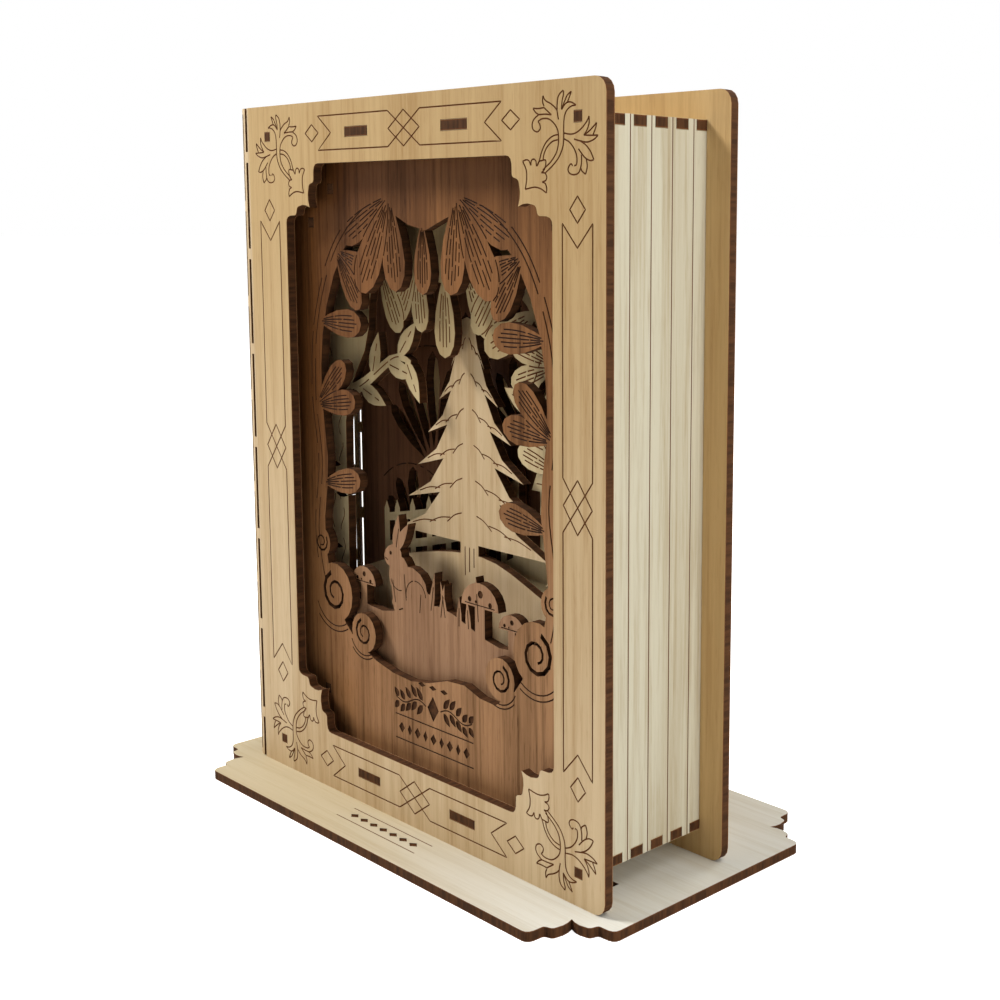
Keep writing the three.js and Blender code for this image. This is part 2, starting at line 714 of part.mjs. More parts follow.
function meadowLayer() {
  const { start, pitch, foot, length, width, turn, spread } = grassShares;
  const blades = [];
  for (let i = 0; i < grassBlades; i += 1) {
    const turns = 1 / 4 + turn * Math.cos(i * i);
    const reach = up(length + spread * Math.sin(i * i));
    blades.push(slab(leaf(at(start + pitch * i, foot), turns, reach, across(width), 3), board));
  }
  const toadstools = toadstoolRowShares.map(([u, v, height, capWidth]) => toadstool(
    at(u, v), up(height), across(capWidth)));
  const [rabbitU, rabbitV, rabbitSize] = rabbitShares;
  const animal = rabbit(at(rabbitU, rabbitV), up(rabbitSize));
  return layer('meadow', [ground(meadowGroundShares), animal, ...blades, ...toadstools], [], lowerRodShares);
}

const boughOpeningShares = [
  [0.15, 0.24], [0.135, 0.40], [0.14, 0.58], [0.22, 0.68], [0.25, 0.78], [0.38, 0.80], [0.5, 0.78],
  [0.62, 0.80], [0.74, 0.77], [0.82, 0.68], [0.845, 0.5], [0.85, 0.24], [0.7, 0.16], [0.5, 0.18],
  [0.3, 0.16],
];
const boughSprayShares = [
  [0.285, 1, 0.12, 0.02], [0.345, 2, 0.12, 0], [0.4, 1, 0.13, 0], [0.44, 1, 0.12, 0.03],
  [0.5, 2, 0.13, 0], [0.56, 1, 0.14, -0.02], [0.605, 2, 0.11, -0.04], [0.66, 1, 0.1, -0.05],
];
const boughLeafShare = 0.075;
const boughLimbShares = [
  [[0.12, 0.59], [0.2, 0.61], [0.32, 0.66], [0.38, 0.655]],
  [[0.88, 0.5], [0.81, 0.56], [0.76, 0.65]],
];
const limbWidthShares = [0.035, 0.01];
const barkScarShares = [[0.06, 0.33], [0.085, 0.42], [0.06, 0.47], [0.085, 0.59], [0.06, 0.75]];
const barkScarSizeShares = [0.05, 0.014];

function boughLayer() {
  const edge = edgeCurve(boughOpeningShares);
  const frame = cutBy(sheet(), [cutter(outlineOf(edge, 42))]);
  const [thick, thin] = limbWidthShares.map(across);
  const lobes = sprays(edge, boughSprayShares);
  const limbs = boughLimbShares.flatMap((rows) => leafyLimb(rows, thick, thin, 5, up(boughLeafShare)));
  const [length, width] = barkScarSizeShares.map(across);
  const scars = barkScarShares.map(([u, v]) => cutter(leaf(at(u, v), 0, length, width, 3)));
  return layer('bough', [frame, ...limbs, ...lobes], scars, rodShares);
}

const firGroundShares = [[0, 0.26], [0.15, 0.3], [0.35, 0.345], [0.58, 0.36], [0.8, 0.31], [1, 0.29]];
const trunkShares = { foot: [0.52, 0.3], top: [0.52, 0.42], width: 0.06 };
const firTreeShares = [[0.52, 0.39, 0.33, 0.5, 6], [0.83, 0.31, 0.16, 0.17, 4]];

function firLayer() {
  const trunkLine = new THREE.SplineCurve([at(...trunkShares.foot), at(...trunkShares.top)]);
  const trees = firTreeShares.map(([u, v, height, width, tiers]) => slab(
    fir(at(u, v), up(height), across(width), tiers), board));
  const trunk = limb(trunkLine, across(trunkShares.width), across(trunkShares.width), 2);
  return layer('fir', [ground(firGroundShares), trunk, ...trees], [], lowerRodShares);
}

const fenceGroundShares = [[0, 0.2], [0.08, 0.22], [0.25, 0.3], [0.5, 0.33], [0.75, 0.4], [1, 0.42]];
const fenceLineShares = [[0.16, 0.3], [0.3, 0.32], [0.48, 0.355], [0.62, 0.4]];
const picketSizeShares = { height: 0.1, width: 0.019 };
const cottagePlaceShares = [0.68, 0.4, 0.22];

function fenceLayer() {
  const { height, width } = picketSizeShares;
  const fence = picketFence(fenceLineShares, 9, up(height), across(width));
  const [cottageU, cottageV, cottageWidth] = cottagePlaceShares;
  const house = cottage(at(cottageU, cottageV), across(cottageWidth));
  return layer('fence', [ground(fenceGroundShares), fence, house], [], lowerRodShares);
}

// The last layer is a whole sheet. Crowns of trees are cut out of it for the light, each a fan of lobe-shaped
// holes with the branches left between them.
const crownShares = { spread: 0.27, root: 0.2, length: 0.8, width: 1.25, droop: 0.45 };
const treeRowShares = [
  [0.28, 0.46, 0.28, 7], [0.2, 0.34, 0.17, 5], [0.59, 0.53, 0.2, 6], [0.83, 0.47, 0.25, 7],
  [0.45, 0.41, 0.13, 5],
];

function crown(foot, height, count) {
  const holes = [];
  for (let i = 0; i < count; i += 1) {
    const aside = i / (count - 1) - 1 / 2;
    const turns = 1 / 4 + crownShares.spread * aside;
    const angle = 2 * Math.PI * turns;
    const reach = height * (1 - crownShares.droop * Math.abs(aside));
    const root = new THREE.Vector2(foot.x + crownShares.root * reach * Math.cos(angle),
      foot.y + crownShares.root * reach * Math.sin(angle));
    holes.push(cutter(lobe(root, turns, crownShares.length * reach, crownShares.width * reach / count, 2)));
  }
  return holes;
}

const moonShares = { middle: [0.53, 0.755], radius: 0.06, offset: 0.032 };
const starShares = [[0.4, 0.72], [0.44, 0.68], [0.66, 0.74], [0.72, 0.79]];
const starSizeShare = 0.014;

function forestLayer() {
  const crowns = treeRowShares.flatMap(([u, v, size, count]) => crown(at(u, v), across(size), count));
  const disc = (u, v, radius, steps) => {
    const p = at(u, v);
    return cutter(ellipse(p.x, p.y, across(radius), across(radius), steps));
  };
  const { middle, radius, offset } = moonShares;
  const shadow = middle.map((share) => share + offset);
  const crescent = disc(...middle, radius, 24).subtract(disc(...shadow, radius, 24));
  const stars = starShares.map(([u, v]) => disc(u, v, starSizeShare, 4));
  return layer('forest', [sheet()], [...crowns, crescent, ...stars], rodShares);
}

function spacerRod(row) {
  const p = at(...row);
  const half = rodSize / 2;
  const back = layerDepths.forest + board;
  return block([p.x - half, layerDepths.arch, p.y - half], [p.x + half, back, p.y + half]);
}

// Battery holder: a tray through the back board, with a bay for three cells and a bay for the switch. Its
// flange lies on the outside of the board and carries the two rails of the lid.
const flangeFace = bookDepth + flangeThick;
const holderMiddle = holderRise + holderHeight / 2;
const bayLeft = holderLeft + holderWall;
const switchBayRight = holderRight - holderWall;
const switchBayLeft = switchBayRight - switchBayLength;
const bayRight = switchBayLeft - holderWall;
const bayLow = holderRise + holderWall;
const bayHigh = holderTop - holderWall;
const flangeLeft = holderLeft - flangeWidth;
const flangeRight = holderRight + flangeWidth;
const flangeLow = holderRise - flangeWidth;
const flangeHigh = holderTop + flangeWidth;
const railTop = flangeFace + railHeight;
const stopLeft = bayRight;
const switchMiddle = (switchBayLeft + switchBayRight) / 2;
const knobWidth = switchWidth / 2;
const leadXs = [switchMiddle - leadSpacing / 2, switchMiddle + leadSpacing / 2];
const stripMiddle = (layerDepths.forest + board + backFace) / 2;
const leadY = stripMiddle + stripWidth / 2 - leadEdge;

function batteryHolder() {
  const tray = block([holderLeft, trayFloor, holderRise], [holderRight, bookDepth, holderTop]);
  const flange = block([flangeLeft, bookDepth, flangeLow], [flangeRight, flangeFace, flangeHigh]);
  const stopRight = stopLeft + stopWidth;
  const stop = block([stopLeft, flangeFace, flangeLow], [stopRight, railTop, flangeHigh]);
  const web = railWidth - railLip;
  const lipUnder = railTop - railLip;
  const rails = [
    block([flangeLeft, flangeFace, flangeHigh - web], [stopLeft, railTop, flangeHigh]),
    block([flangeLeft, lipUnder, flangeHigh - railWidth], [stopLeft, railTop, flangeHigh]),
    block([flangeLeft, flangeFace, flangeLow], [stopLeft, railTop, flangeLow + web]),
    block([flangeLeft, lipUnder, flangeLow], [stopLeft, railTop, flangeLow + railWidth]),
  ];
  const bayFloor = trayFloor + holderWall;
  const cellBay = block([bayLeft, bayFloor, bayLow], [bayRight, flangeFace + overrun, bayHigh]);
  const switchBay = block([switchBayLeft, bayFloor, bayLow], [switchBayRight, bookDepth, bayHigh]);
  const slotHalfWidth = knobWidth / 2 + slideGap;
  const slotHalfLength = knobLength / 2 + switchTravel / 2 + slideGap;
  const knobSlot = block(
    [switchMiddle - slotHalfWidth, bookDepth - overrun, holderMiddle - slotHalfLength],
    [switchMiddle + slotHalfWidth, flangeFace + overrun, holderMiddle + slotHalfLength]);
  const holeHalf = leadRadius + slideGap;
  const leadHoles = leadXs.map((x) => block(
    [x - holeHalf, leadY - holeHalf, bayHigh - overrun],
    [x + holeHalf, leadY + holeHalf, holderTop + overrun]));
  return cutBy(joined([tray, flange, stop, ...rails]), [cellBay, switchBay, knobSlot, ...leadHoles]);
}

function batteryLid() {
  const low = flangeLow + railWidth - railLip + lidGap;
  const high = flangeHigh - railWidth + railLip - lidGap;
  const under = flangeFace + lidGap;
  const plate = block([flangeLeft, under, low], [stopLeft - lidGap, under + lidThick, high]);
  const grips = [];
  for (let i = 0; i < gripCount; i += 1) {
    const x = flangeLeft + railWidth + i * gripPitch;
    grips.push(block([x, under + lidThick / 2, holderMiddle - cellPitch],
      [x + gripPitch / 2, under + lidThick + gripHeight, holderMiddle + cellPitch]));
  }
  return joined([plate, ...grips]);
}

const cellAxisY = trayFloor + holderWall + slideGap + cellRadius;

// A closed cylinder or cone along X, from x to x + length
function roundBar(x, y, z, startRadius, endRadius, length, sides = 20) {
  const geometry = new THREE.CylinderGeometry(endRadius, startRadius, length, sides);
  geometry.rotateZ(-Math.PI / 2);
  geometry.translate(x + length / 2, y, z);
  return solidFrom(geometry);
}

// Cells lie side by side and turn end for end, so that each spring presses on a flat end
function cellRow(i) {
  const z = holderMiddle + (i - 1) * cellPitch;
  const springAtLeft = i % 2 === 0;
  const springX = springAtLeft ? bayLeft : bayRight - contactThick;
  const plateX = springAtLeft ? bayRight - contactThick : bayLeft;
  const half = contactWidth / 2;
  const plateAt = (x) => block(
    [x, cellAxisY - half, z - half], [x + contactThick, cellAxisY + half, z + half]);
  const coneX = springAtLeft ? bayLeft + contactThick : bayRight - contactThick - springLength;
  const coneRadii = springAtLeft ? [springRadius, springTipRadius] : [springTipRadius, springRadius];
  const cone = roundBar(coneX, cellAxisY, z, ...coneRadii, springLength, 12);
  const cellX = springAtLeft
    ? coneX + springLength + cellPlay
    : bayLeft + contactThick + cellPlay + nubLength;
  const can = roundBar(cellX, cellAxisY, z, cellRadius, cellRadius, cellLength);
  const nub = roundBar(springAtLeft ? cellX + cellLength : cellX - nubLength, cellAxisY, z,
    nubRadius, nubRadius, nubLength, 12);
  return { cell: joined([can, nub]), spring: joined([plateAt(springX), cone]), plate: plateAt(plateX) };
}

const switchTop = bookDepth - fitGap;
const cavityFloor = switchTop - sliderDepth - 2 * slideGap;

function switchBody() {
  const half = switchLength / 2;
  const can = block([switchMiddle - switchWidth / 2, switchTop - switchDepth, holderMiddle - half],
    [switchMiddle + switchWidth / 2, switchTop, holderMiddle + half]);
  const cavity = block(
    [switchMiddle - switchWidth / 2 + switchWall, cavityFloor, holderMiddle - half + switchWall],
    [switchMiddle + switchWidth / 2 - switchWall, switchTop + overrun, holderMiddle + half - switchWall]);
  return can.subtract(cavity);
}

// The knob stands at the lower end of its slot, which is off
function switchKnob() {
  const middle = holderMiddle - switchTravel / 2;
  const reach = switchWidth / 2 - switchWall - slideGap;
  const carriage = block([switchMiddle - reach, cavityFloor + slideGap, middle - sliderLength / 2],
    [switchMiddle + reach, cavityFloor + slideGap + sliderDepth, middle + sliderLength / 2]);
  const stem = block([switchMiddle - knobWidth / 2, cavityFloor + 2 * slideGap, middle - knobLength / 2],
    [switchMiddle + knobWidth / 2, flangeFace + knobRise, middle + knobLength / 2]);
  return carriage.add(stem);
}

// Light strip under the top panel, behind the last layer
const stripTop = coverHeight - capInset - board - fitGap;
const stripUnder = stripTop - stripThick;
const stripLeft = layerLeft + stripEndGap;
const stripRight = layerRight - stripEndGap;

function lightStrip() {
  return block([stripLeft, stripMiddle - stripWidth / 2, stripUnder],
    [stripRight, stripMiddle + stripWidth / 2, stripTop]);
}

function ledChip(i) {
  const pitch = (stripRight - stripLeft - 2 * stripEndLength) / (ledCount - 1);
  const x = stripLeft + stripEndLength + i * pitch;
  const half = ledSize / 2;
  return block(
    [x - half, stripMiddle - half, stripUnder - ledHeight], [x + half, stripMiddle + half, stripUnder]);
}

// A lead: up out of the switch bay, along the back board and under the end of the strip
function lead(i) {
  const startX = leadXs[i];
  const endX = stripRight - leadSpacing * (2 - i);
  const low = holderMiddle + switchLength / 2 + leadEdge;
  const high = stripUnder - lidGap;
  const point = (x, z) => new THREE.Vector3(x, leadY, z);
  const route = new THREE.CatmullRomCurve3([
    point(startX, low), point(startX, holderTop), point(startX, holderTop + leadBend),
    point((startX + endX) / 2, (holderTop + high) / 2),
    point(endX, high - 2 * leadBend), point(endX, high - leadBend), point(endX, high),
  ]);
  const section = new THREE.Shape(ellipse(0, 0, leadRadius, leadRadius, 8));
  const geometry = new THREE.ExtrudeGeometry(section, { steps: 36, bevelEnabled: false, extrudePath: route });
  return solidFrom(geometry);
}

const book = new THREE.Group();
book.position.set(spineOverhang - baseLength / 2, frontOverhang - baseDepth / 2, board);

function place(solid, name, material) {
  book.add(meshFrom(solid, name, material));
}

place(basePlate(), 'base_plate', paleVeneer);
place(frontBoard(), 'cover_front_board', veneer);
place(livingHinge(bendRadius, -1), 'cover_front_hinge', veneer);
place(spine(), 'cover_spine', veneer);
place(livingHinge(bookDepth - bendRadius, 1), 'cover_back_hinge', veneer);
place(backBoard(), 'cover_back_board', veneer);
place(cap(panelLevels[0], true), 'bottom_panel', paleVeneer);
place(cap(panelLevels[1], false), 'top_panel', paleVeneer);
place(pagePanel(), 'page_panel', paleVeneer);
place(archLayer(), 'arch_layer', walnut);
place(meadowLayer(), 'meadow_layer', lightWalnut);
place(boughLayer(), 'bough_layer', veneer);
place(firLayer(), 'fir_layer', veneer);
place(fenceLayer(), 'fence_layer', paleVeneer);
place(forestLayer(), 'forest_layer', darkWalnut);
rodShares.forEach((row, i) => place(spacerRod(row), `spacer_rod_${i + 1}`, walnut));
place(batteryHolder(), 'battery_holder', blackPlastic);
place(batteryLid(), 'battery_lid', blackPlastic);
for (let i = 0; i < cellCount; i += 1) {
  const { cell, spring, plate } = cellRow(i);
  place(cell, `cell_${i + 1}`, cellSleeve);
  place(spring, `spring_contact_${i + 1}`, switchSteel);
  place(plate, `plate_contact_${i + 1}`, switchSteel);
}
place(switchBody(), 'switch_body', switchSteel);
place(switchKnob(), 'switch_knob', blackPlastic);
place(lightStrip(), 'light_strip', stripWhite);
for (let i = 0; i < ledCount; i += 1) {
  place(ledChip(i), `led_${i + 1}`, ledYellow);
}
place(lead(0), 'red_lead', redCover);
place(lead(1), 'black_lead', blackCover);

const lamp = new THREE.Group();
lamp.add(book);
export default lamp;
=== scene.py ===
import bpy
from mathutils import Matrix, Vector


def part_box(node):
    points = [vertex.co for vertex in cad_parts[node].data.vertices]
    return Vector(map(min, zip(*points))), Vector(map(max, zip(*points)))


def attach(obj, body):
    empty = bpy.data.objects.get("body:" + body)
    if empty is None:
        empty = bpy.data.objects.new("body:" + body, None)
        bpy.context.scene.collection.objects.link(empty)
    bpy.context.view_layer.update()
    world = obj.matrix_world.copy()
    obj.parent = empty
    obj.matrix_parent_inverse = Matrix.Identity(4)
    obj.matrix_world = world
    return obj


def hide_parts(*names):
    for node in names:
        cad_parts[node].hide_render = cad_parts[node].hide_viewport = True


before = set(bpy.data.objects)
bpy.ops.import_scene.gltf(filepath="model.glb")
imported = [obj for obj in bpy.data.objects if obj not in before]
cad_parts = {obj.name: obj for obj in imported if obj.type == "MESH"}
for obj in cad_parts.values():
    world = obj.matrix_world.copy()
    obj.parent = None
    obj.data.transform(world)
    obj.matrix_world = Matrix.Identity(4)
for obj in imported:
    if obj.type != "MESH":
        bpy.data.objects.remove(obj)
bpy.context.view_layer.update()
print("loaded", len(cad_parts), "CAD pieces")

# %% [markdown]
# The lamp is a standing book cut by laser from thin veneered board. Everything here is placed from the
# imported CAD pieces, so the first cell finds the book's own corner: the outer face of the spine, the face of
# the front cover and the top of the base plate. Lengths on the book are then written in millimetres from
# that corner, as a maker would measure them with a rule.

# %% Where the book stands
import math
from contextlib import contextmanager

import bmesh
import bpy
import numpy
from mathutils import Quaternion, Vector
from mathutils.geometry import delaunay_2d_cdt

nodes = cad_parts
MM = 0.001
HALF_BOARD = 1.5 * MM
BOOK_DEPTH = 50
BEND_RADIUS = 13
book_corner = Vector((
    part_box("cover_spine")[0].x,
    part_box("cover_front_board")[0].y,
    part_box("cover_front_board")[0].z,
))


def spot(x, y, z):
    """A point of the book, from millimetres to the frame's metres."""
    return book_corner + Vector((x, y, z)) * MM


def stand(name, data):
    """A new object in the scene."""
    thing = bpy.data.objects.new(name, data)
    bpy.context.scene.collection.objects.link(thing)
    return thing


def aim(thing, place, direction, roll=0.0):
    """Puts a camera or a lamp at a place and turns it to look along a direction."""
    thing.location = place
    thing.rotation_mode = "QUATERNION"
    thing.rotation_quaternion = direction.to_track_quat("-Z", "Y") @ Quaternion((0, 0, 1), math.radians(roll))


print("book corner at", [round(c / MM, 2) for c in book_corner], "mm")

# %% [markdown]
# The camera stands where the photographer stood, near the fore-edge corner and a little above the middle of
# the book. Its place was found by matching the edges of the boards, so the lens is a normal one and the
# picture is shifted a little sideways, as when a photo has been cropped.

# %% Camera
camera_data = bpy.data.cameras.new("photo_camera")
camera_data.sensor_width = 36
camera_data.lens = 51.825
camera_data.shift_x = -0.1497
camera_data.shift_y = -0.0819
camera_data.clip_start = 0.01
camera = stand("photo_camera", camera_data)
aim(camera, (0.34863, -0.28821, 0.18720), Vector((-0.68779, 0.71320, -0.13522)), roll=0.348)
bpy.context.scene.camera = camera
print("camera", round(camera_data.lens, 1), "mm")


# %% Helpers for shader nodes
def feed(tree, socket, value):
    """Links a socket to another one, or gives it a number or a colour."""
    if isinstance(value, bpy.types.NodeSocket):
        tree.links.new(value, socket)
    elif value is not None:
        socket.default_value = value


def fill(tree, node, **values):
    """Feeds the inputs of a node by name, with _ for each space of the name."""
    for key, value in values.items():
        feed(tree, node.inputs[key.replace("_", " ")], value)


def add_node(tree, kind, settings=None, **values):
    node = tree.nodes.new(kind)
    for key, value in (settings or {}).items():
        setattr(node, key, value)
    fill(tree, node, **values)
    return node


def maths(tree, operation, first, second=None, kind="ShaderNodeMath", output=0, **settings):
    node = add_node(tree, kind, {"operation": operation, **settings})
    feed(tree, node.inputs[0], first)
    feed(tree, node.inputs[1], second)
    return node.outputs[output]


def ramp(tree, value, low, high, to_low=0.0, to_high=1.0, shape="SMOOTHSTEP"):
    """A step of value from low to high."""
    return add_node(tree, "ShaderNodeMapRange", {"interpolation_type": shape}, Value=value,
                    From_Min=low, From_Max=high, To_Min=to_low, To_Max=to_high).outputs[0]


def mix(tree, share, first, second):
    """Numbers mixed by a share."""
    node = tree.nodes.new("ShaderNodeMix")
    for i, value in ((0, share), (2, first), (3, second)):
        feed(tree, node.inputs[i], value)
    return node.outputs[0]


def mix_colours(tree, share, first, second, blend="MIX"):
    node = add_node(tree, "ShaderNodeMix", {"data_type": "RGBA", "blend_type": blend})
    for i, value in ((0, share), (6, first), (7, second)):
        feed(tree, node.inputs[i], value)
    return node.outputs[2]


def moved(tree, place, **values):
    """Coordinates that are shifted, turned or stretched."""
    return add_node(tree, "ShaderNodeMapping", Vector=place, **values).outputs[0]


def noise(tree, place, scale, detail, **values):
    return add_node(tree, "ShaderNodeTexNoise", Vector=place, Scale=scale, Detail=detail, **values).outputs[0]


def coordinate(tree, place, axis):
    return add_node(tree, "ShaderNodeSeparateXYZ", Vector=place).outputs[axis]


def bumps(tree, height, strength, distance):
    return add_node(tree, "ShaderNodeBump", Height=height, Strength=strength, Distance=distance).outputs[0]


def object_place(tree):
    return tree.nodes.new("ShaderNodeTexCoord").outputs["Object"]


def new_material(name):
    """A material with its node tree and its shader."""
    material = bpy.data.materials.new(name)
    material.use_nodes = True
    return material, material.node_tree, material.node_tree.nodes["Principled BSDF"]


def paint(red, green, blue):
    """A colour as it is read off a photo, 0 to 255, in Blender's linear scale."""
    def linear(value):
        share = value / 255
        return share / 12.92 if share <= 0.04045 else ((share + 0.055) / 1.055) ** 2.4
    return (linear(red), linear(green), linear(blue), 1)


print("helpers ready")

# %% [markdown]
# The studio is a pale floor in a white room. Light comes from the room itself and from four large soft
# lamps. The floor glows a little for the camera, for mirrors and for glass, which makes it as white as the
# room and still lets the lamp's shadow show.

# %% Room light
ROOM_LIGHT = 0.13
FLOOR_GLOW = 0.87
FLOOR_GREY = 0.82


def seen_directly(tree):
    """One for rays from the camera, a mirror or glass, and nought for the rays that carry light."""
    rays = add_node(tree, "ShaderNodeLightPath").outputs
    seen = maths(tree, "ADD", rays["Is Camera Ray"], rays["Is Glossy Ray"], use_clamp=True)
    return maths(tree, "ADD", seen, rays["Is Transmission Ray"], use_clamp=True)


room = bpy.data.worlds.new("white_room")
bpy.context.scene.world = room
room.use_nodes = True
tree = room.node_tree
fill(tree, tree.nodes["Background"], Color=(1, 1, 1, 1),
     Strength=ramp(tree, seen_directly(tree), 0, 1, ROOM_LIGHT, 1.0, "LINEAR"))
bpy.context.scene.view_settings.view_transform = "Standard"
print("room made")

# %% Floor
bpy.ops.mesh.primitive_plane_add(size=30)
floor = bpy.context.object
floor.name = "floor"
floor_finish, tree, skin = new_material("pale_floor")
fill(tree, skin, Base_Color=(FLOOR_GREY, FLOOR_GREY, FLOOR_GREY, 1), Roughness=0.9, Specular_IOR_Level=0.1,
     Emission_Color=(1, 1, 1, 1), Emission_Strength=maths(tree, "MULTIPLY", seen_directly(tree), FLOOR_GLOW))
floor.data.materials.append(floor_finish)
print("floor", floor.dimensions.x, "m wide")


# %% Lamps
def soft_lamp(name, place, target, width, watts):
    data = bpy.data.lights.new(name, "AREA")
    data.shape = "DISK"
    data.size = width
    data.energy = watts
    aim(stand(name, data), place, Vector(target) - Vector(place))


soft_lamp("key_lamp", (-0.85, -0.58, 1.1), (0, 0, 0.11), 0.4, 21)
soft_lamp("side_lamp", (1.3, 0.05, 0.6), (0, 0, 0.11), 0.7, 9)
soft_lamp("top_lamp", (0.7, 0.15, 1.3), (0, 0, 0.1), 1.0, 6)
soft_lamp("back_lamp", (0.1, 1.3, 0.9), (0, 0, 0.11), 0.8, 10)
print("four soft lamps")

# %% [markdown]
# Wood is drawn by shader node groups, so that one recipe serves every sheet. The first group is the veneer:
# noise that is stretched along the grain gives broad bands and fine streaks, and a much finer noise gives
# pores. The grain always runs along Z inside the group, and a material turns its coordinates first where a
# sheet is laid the other way.

# %% Veneer grain group
GRAIN_STRETCH = 0.03
PORE_STRETCH = 0.06


def node_group(name, inputs, outputs):
    """A shader group, the sockets that bring its inputs and the node that takes its outputs."""
    group = bpy.data.node_groups.new(name, "ShaderNodeTree")
    for title, kind, value in inputs:
        socket = group.interface.new_socket(title, in_out="INPUT", socket_type="NodeSocket" + kind)
        if value is not None:
            socket.default_value = value
    for title, kind in outputs:
        group.interface.new_socket(title, in_out="OUTPUT", socket_type="NodeSocket" + kind)
    return group, group.nodes.new("NodeGroupInput").outputs, group.nodes.new("NodeGroupOutput")


veneer_grain, given, result = node_group(
    "veneer_grain",
    [("Vector", "Vector", None), ("Ground", "Color", (0.7, 0.5, 0.3, 1)),
     ("Streak", "Color", (0.5, 0.3, 0.2, 1)), ("Streaks", "Float", 420.0), ("Contrast", "Float", 0.5),
     ("Pores", "Float", 0.3)],
    [("Color", "Color"), ("Roughness", "Float"), ("Height", "Float")])
tree = veneer_grain
stretched = moved(tree, given["Vector"], Scale=(1, 1, GRAIN_STRETCH))
broad_band = ramp(tree, noise(tree, stretched, 75, 3, Distortion=0.8), 0.38, 0.66)
streak_noise = noise(tree, stretched, given["Streaks"], 6, Roughness=0.7, Distortion=0.2)
fine_streak = ramp(tree, streak_noise, 0.42, 0.68)
pore_noise = noise(tree, moved(tree, given["Vector"], Scale=(1, 1, PORE_STRETCH)), 2600, 1)
pore = maths(tree, "MULTIPLY", ramp(tree, pore_noise, 0.62, 0.72), given["Pores"])
broad_share, fine_share = maths(tree, "MULTIPLY", broad_band, 0.45), maths(tree, "MULTIPLY", fine_streak, 0.6)
streak_share = maths(tree, "MULTIPLY", maths(tree, "ADD", broad_share, fine_share), given["Contrast"])
dark_share = maths(tree, "ADD", streak_share, pore, use_clamp=True)
fill(tree, result, Color=mix_colours(tree, dark_share, given["Ground"], given["Streak"]),
     Roughness=ramp(tree, dark_share, 0.0, 1.0, 0.5, 0.75),
     Height=maths(tree, "SUBTRACT", maths(tree, "MULTIPLY", fine_streak, -0.3), pore))
print("veneer grain group:", len(tree.nodes), "nodes")

# %% [markdown]
# A laser burns whatever it cuts, so all edges, slots and engraved lines are dark brown, and only the faces
# of a sheet keep the colour of the wood. The second group tells the two apart by place: a point that lies
# deeper in the sheet than a hair under its faces is burnt, and lightly burnt as far down as a line is
# engraved. The third group is the burnt surface itself.

# %% Burnt edge groups
cut_depth, given, result = node_group(
    "cut_depth", [("Position", "Float", 0.0), ("Middle", "Float", 0.0), ("Half", "Float", HALF_BOARD)],
    [("Burnt", "Float"), ("Shallow", "Float")])
tree = cut_depth
offset = maths(tree, "ABSOLUTE", maths(tree, "SUBTRACT", given["Position"], given["Middle"]))
depth_share = maths(tree, "DIVIDE", offset, given["Half"])
fill(tree, result, Burnt=ramp(tree, depth_share, 0.99, 0.95),
     Shallow=ramp(tree, depth_share, 0.72, 0.86, 0.0, 0.85))

char_skin, given, result = node_group(
    "char_skin",
    [("Vector", "Vector", None), ("Brown", "Color", paint(86, 55, 32)), ("Soot", "Color", paint(60, 38, 22))],
    [("Color", "Color"), ("Height", "Float")])
tree = char_skin
char_share = ramp(tree, noise(tree, given["Vector"], 700, 4, Roughness=0.6), 0.35, 0.65)
fill(tree, result, Color=mix_colours(tree, char_share, given["Brown"], given["Soot"]), Height=char_share)
print("cut depth and char groups made")

# %% Painted shade and tone group
# A tint is multiplied into the wood beyond a height or a distance, along a border that wanders. On the layers
# inside the book this is painted shade; on the front cover and the base it only shifts the colour.
TINT_BORDER_WANDER = 0.06
painted_shade_and_tone, given, result = node_group(
    "painted_shade_and_tone",
    [("Vector", "Vector", None), ("Wood", "Color", (0.5, 0.3, 0.2, 1)), ("Tint", "Color", (0.5, 0.4, 0.3, 1)),
     ("Low", "Float", 0.1), ("High", "Float", 0.2)],
    [("Color", "Color")])
tree = painted_shade_and_tone
tint_border_noise = noise(tree, moved(tree, given["Vector"], Scale=(1, 1, 0.15)), 60, 2)
wander = maths(tree, "MULTIPLY", maths(tree, "SUBTRACT", tint_border_noise, 0.5), TINT_BORDER_WANDER)
border = maths(tree, "ADD", coordinate(tree, given["Vector"], "Z"), wander)
tint_share = ramp(tree, border, given["Low"], given["High"])
fill(tree, result, Color=mix_colours(tree, tint_share, given["Wood"], given["Tint"], "MULTIPLY"))
print("heartwood group:", len(tree.nodes), "nodes")

# %% [markdown]
# A sheet's material places these groups: object coordinates go to the veneer and to the char, and one of
# them, measured through the thickness of the sheet, goes to the cut depth. A bent sheet uses its distance
# from the axis of the bend instead. Each wood is a small set of colours and amounts.

# %% Sheet materials
WOOD_INPUTS = ("Ground", "Streak", "Streaks", "Contrast", "Pores")
WOODS = {
    "cover_veneer": (paint(211, 186, 147), paint(172, 138, 94), 520.0, 0.66, 0.2),
    "base_veneer": (paint(213, 211, 201), paint(190, 181, 160), 420.0, 0.62, 0.14),
    "page_veneer": (paint(201, 194, 170), paint(158, 136, 98), 480.0, 0.74, 0.14),
    "pale_veneer": (paint(212, 193, 150), paint(184, 156, 112), 480.0, 0.6, 0.14),
    "warm_veneer": (paint(208, 176, 124), paint(174, 136, 86), 420.0, 0.7, 0.2),
    "walnut": (paint(168, 124, 84), paint(84, 55, 30), 560.0, 0.85, 0.35),
    "light_walnut": (paint(164, 124, 90), paint(112, 78, 54), 560.0, 0.75, 0.3),
    "dark_walnut": (paint(124, 84, 56), paint(80, 52, 36), 500.0, 0.85, 0.35),
}
DARK_SCORCH = paint(50, 30, 17)
PALE_SCORCH = paint(108, 65, 35)
CHAR_ROUGHNESS = 0.85
TURNS = {"Z": (0, 0, 0), "X": (0, math.pi / 2, 0), "Y": (math.pi / 2, 0, 0)}
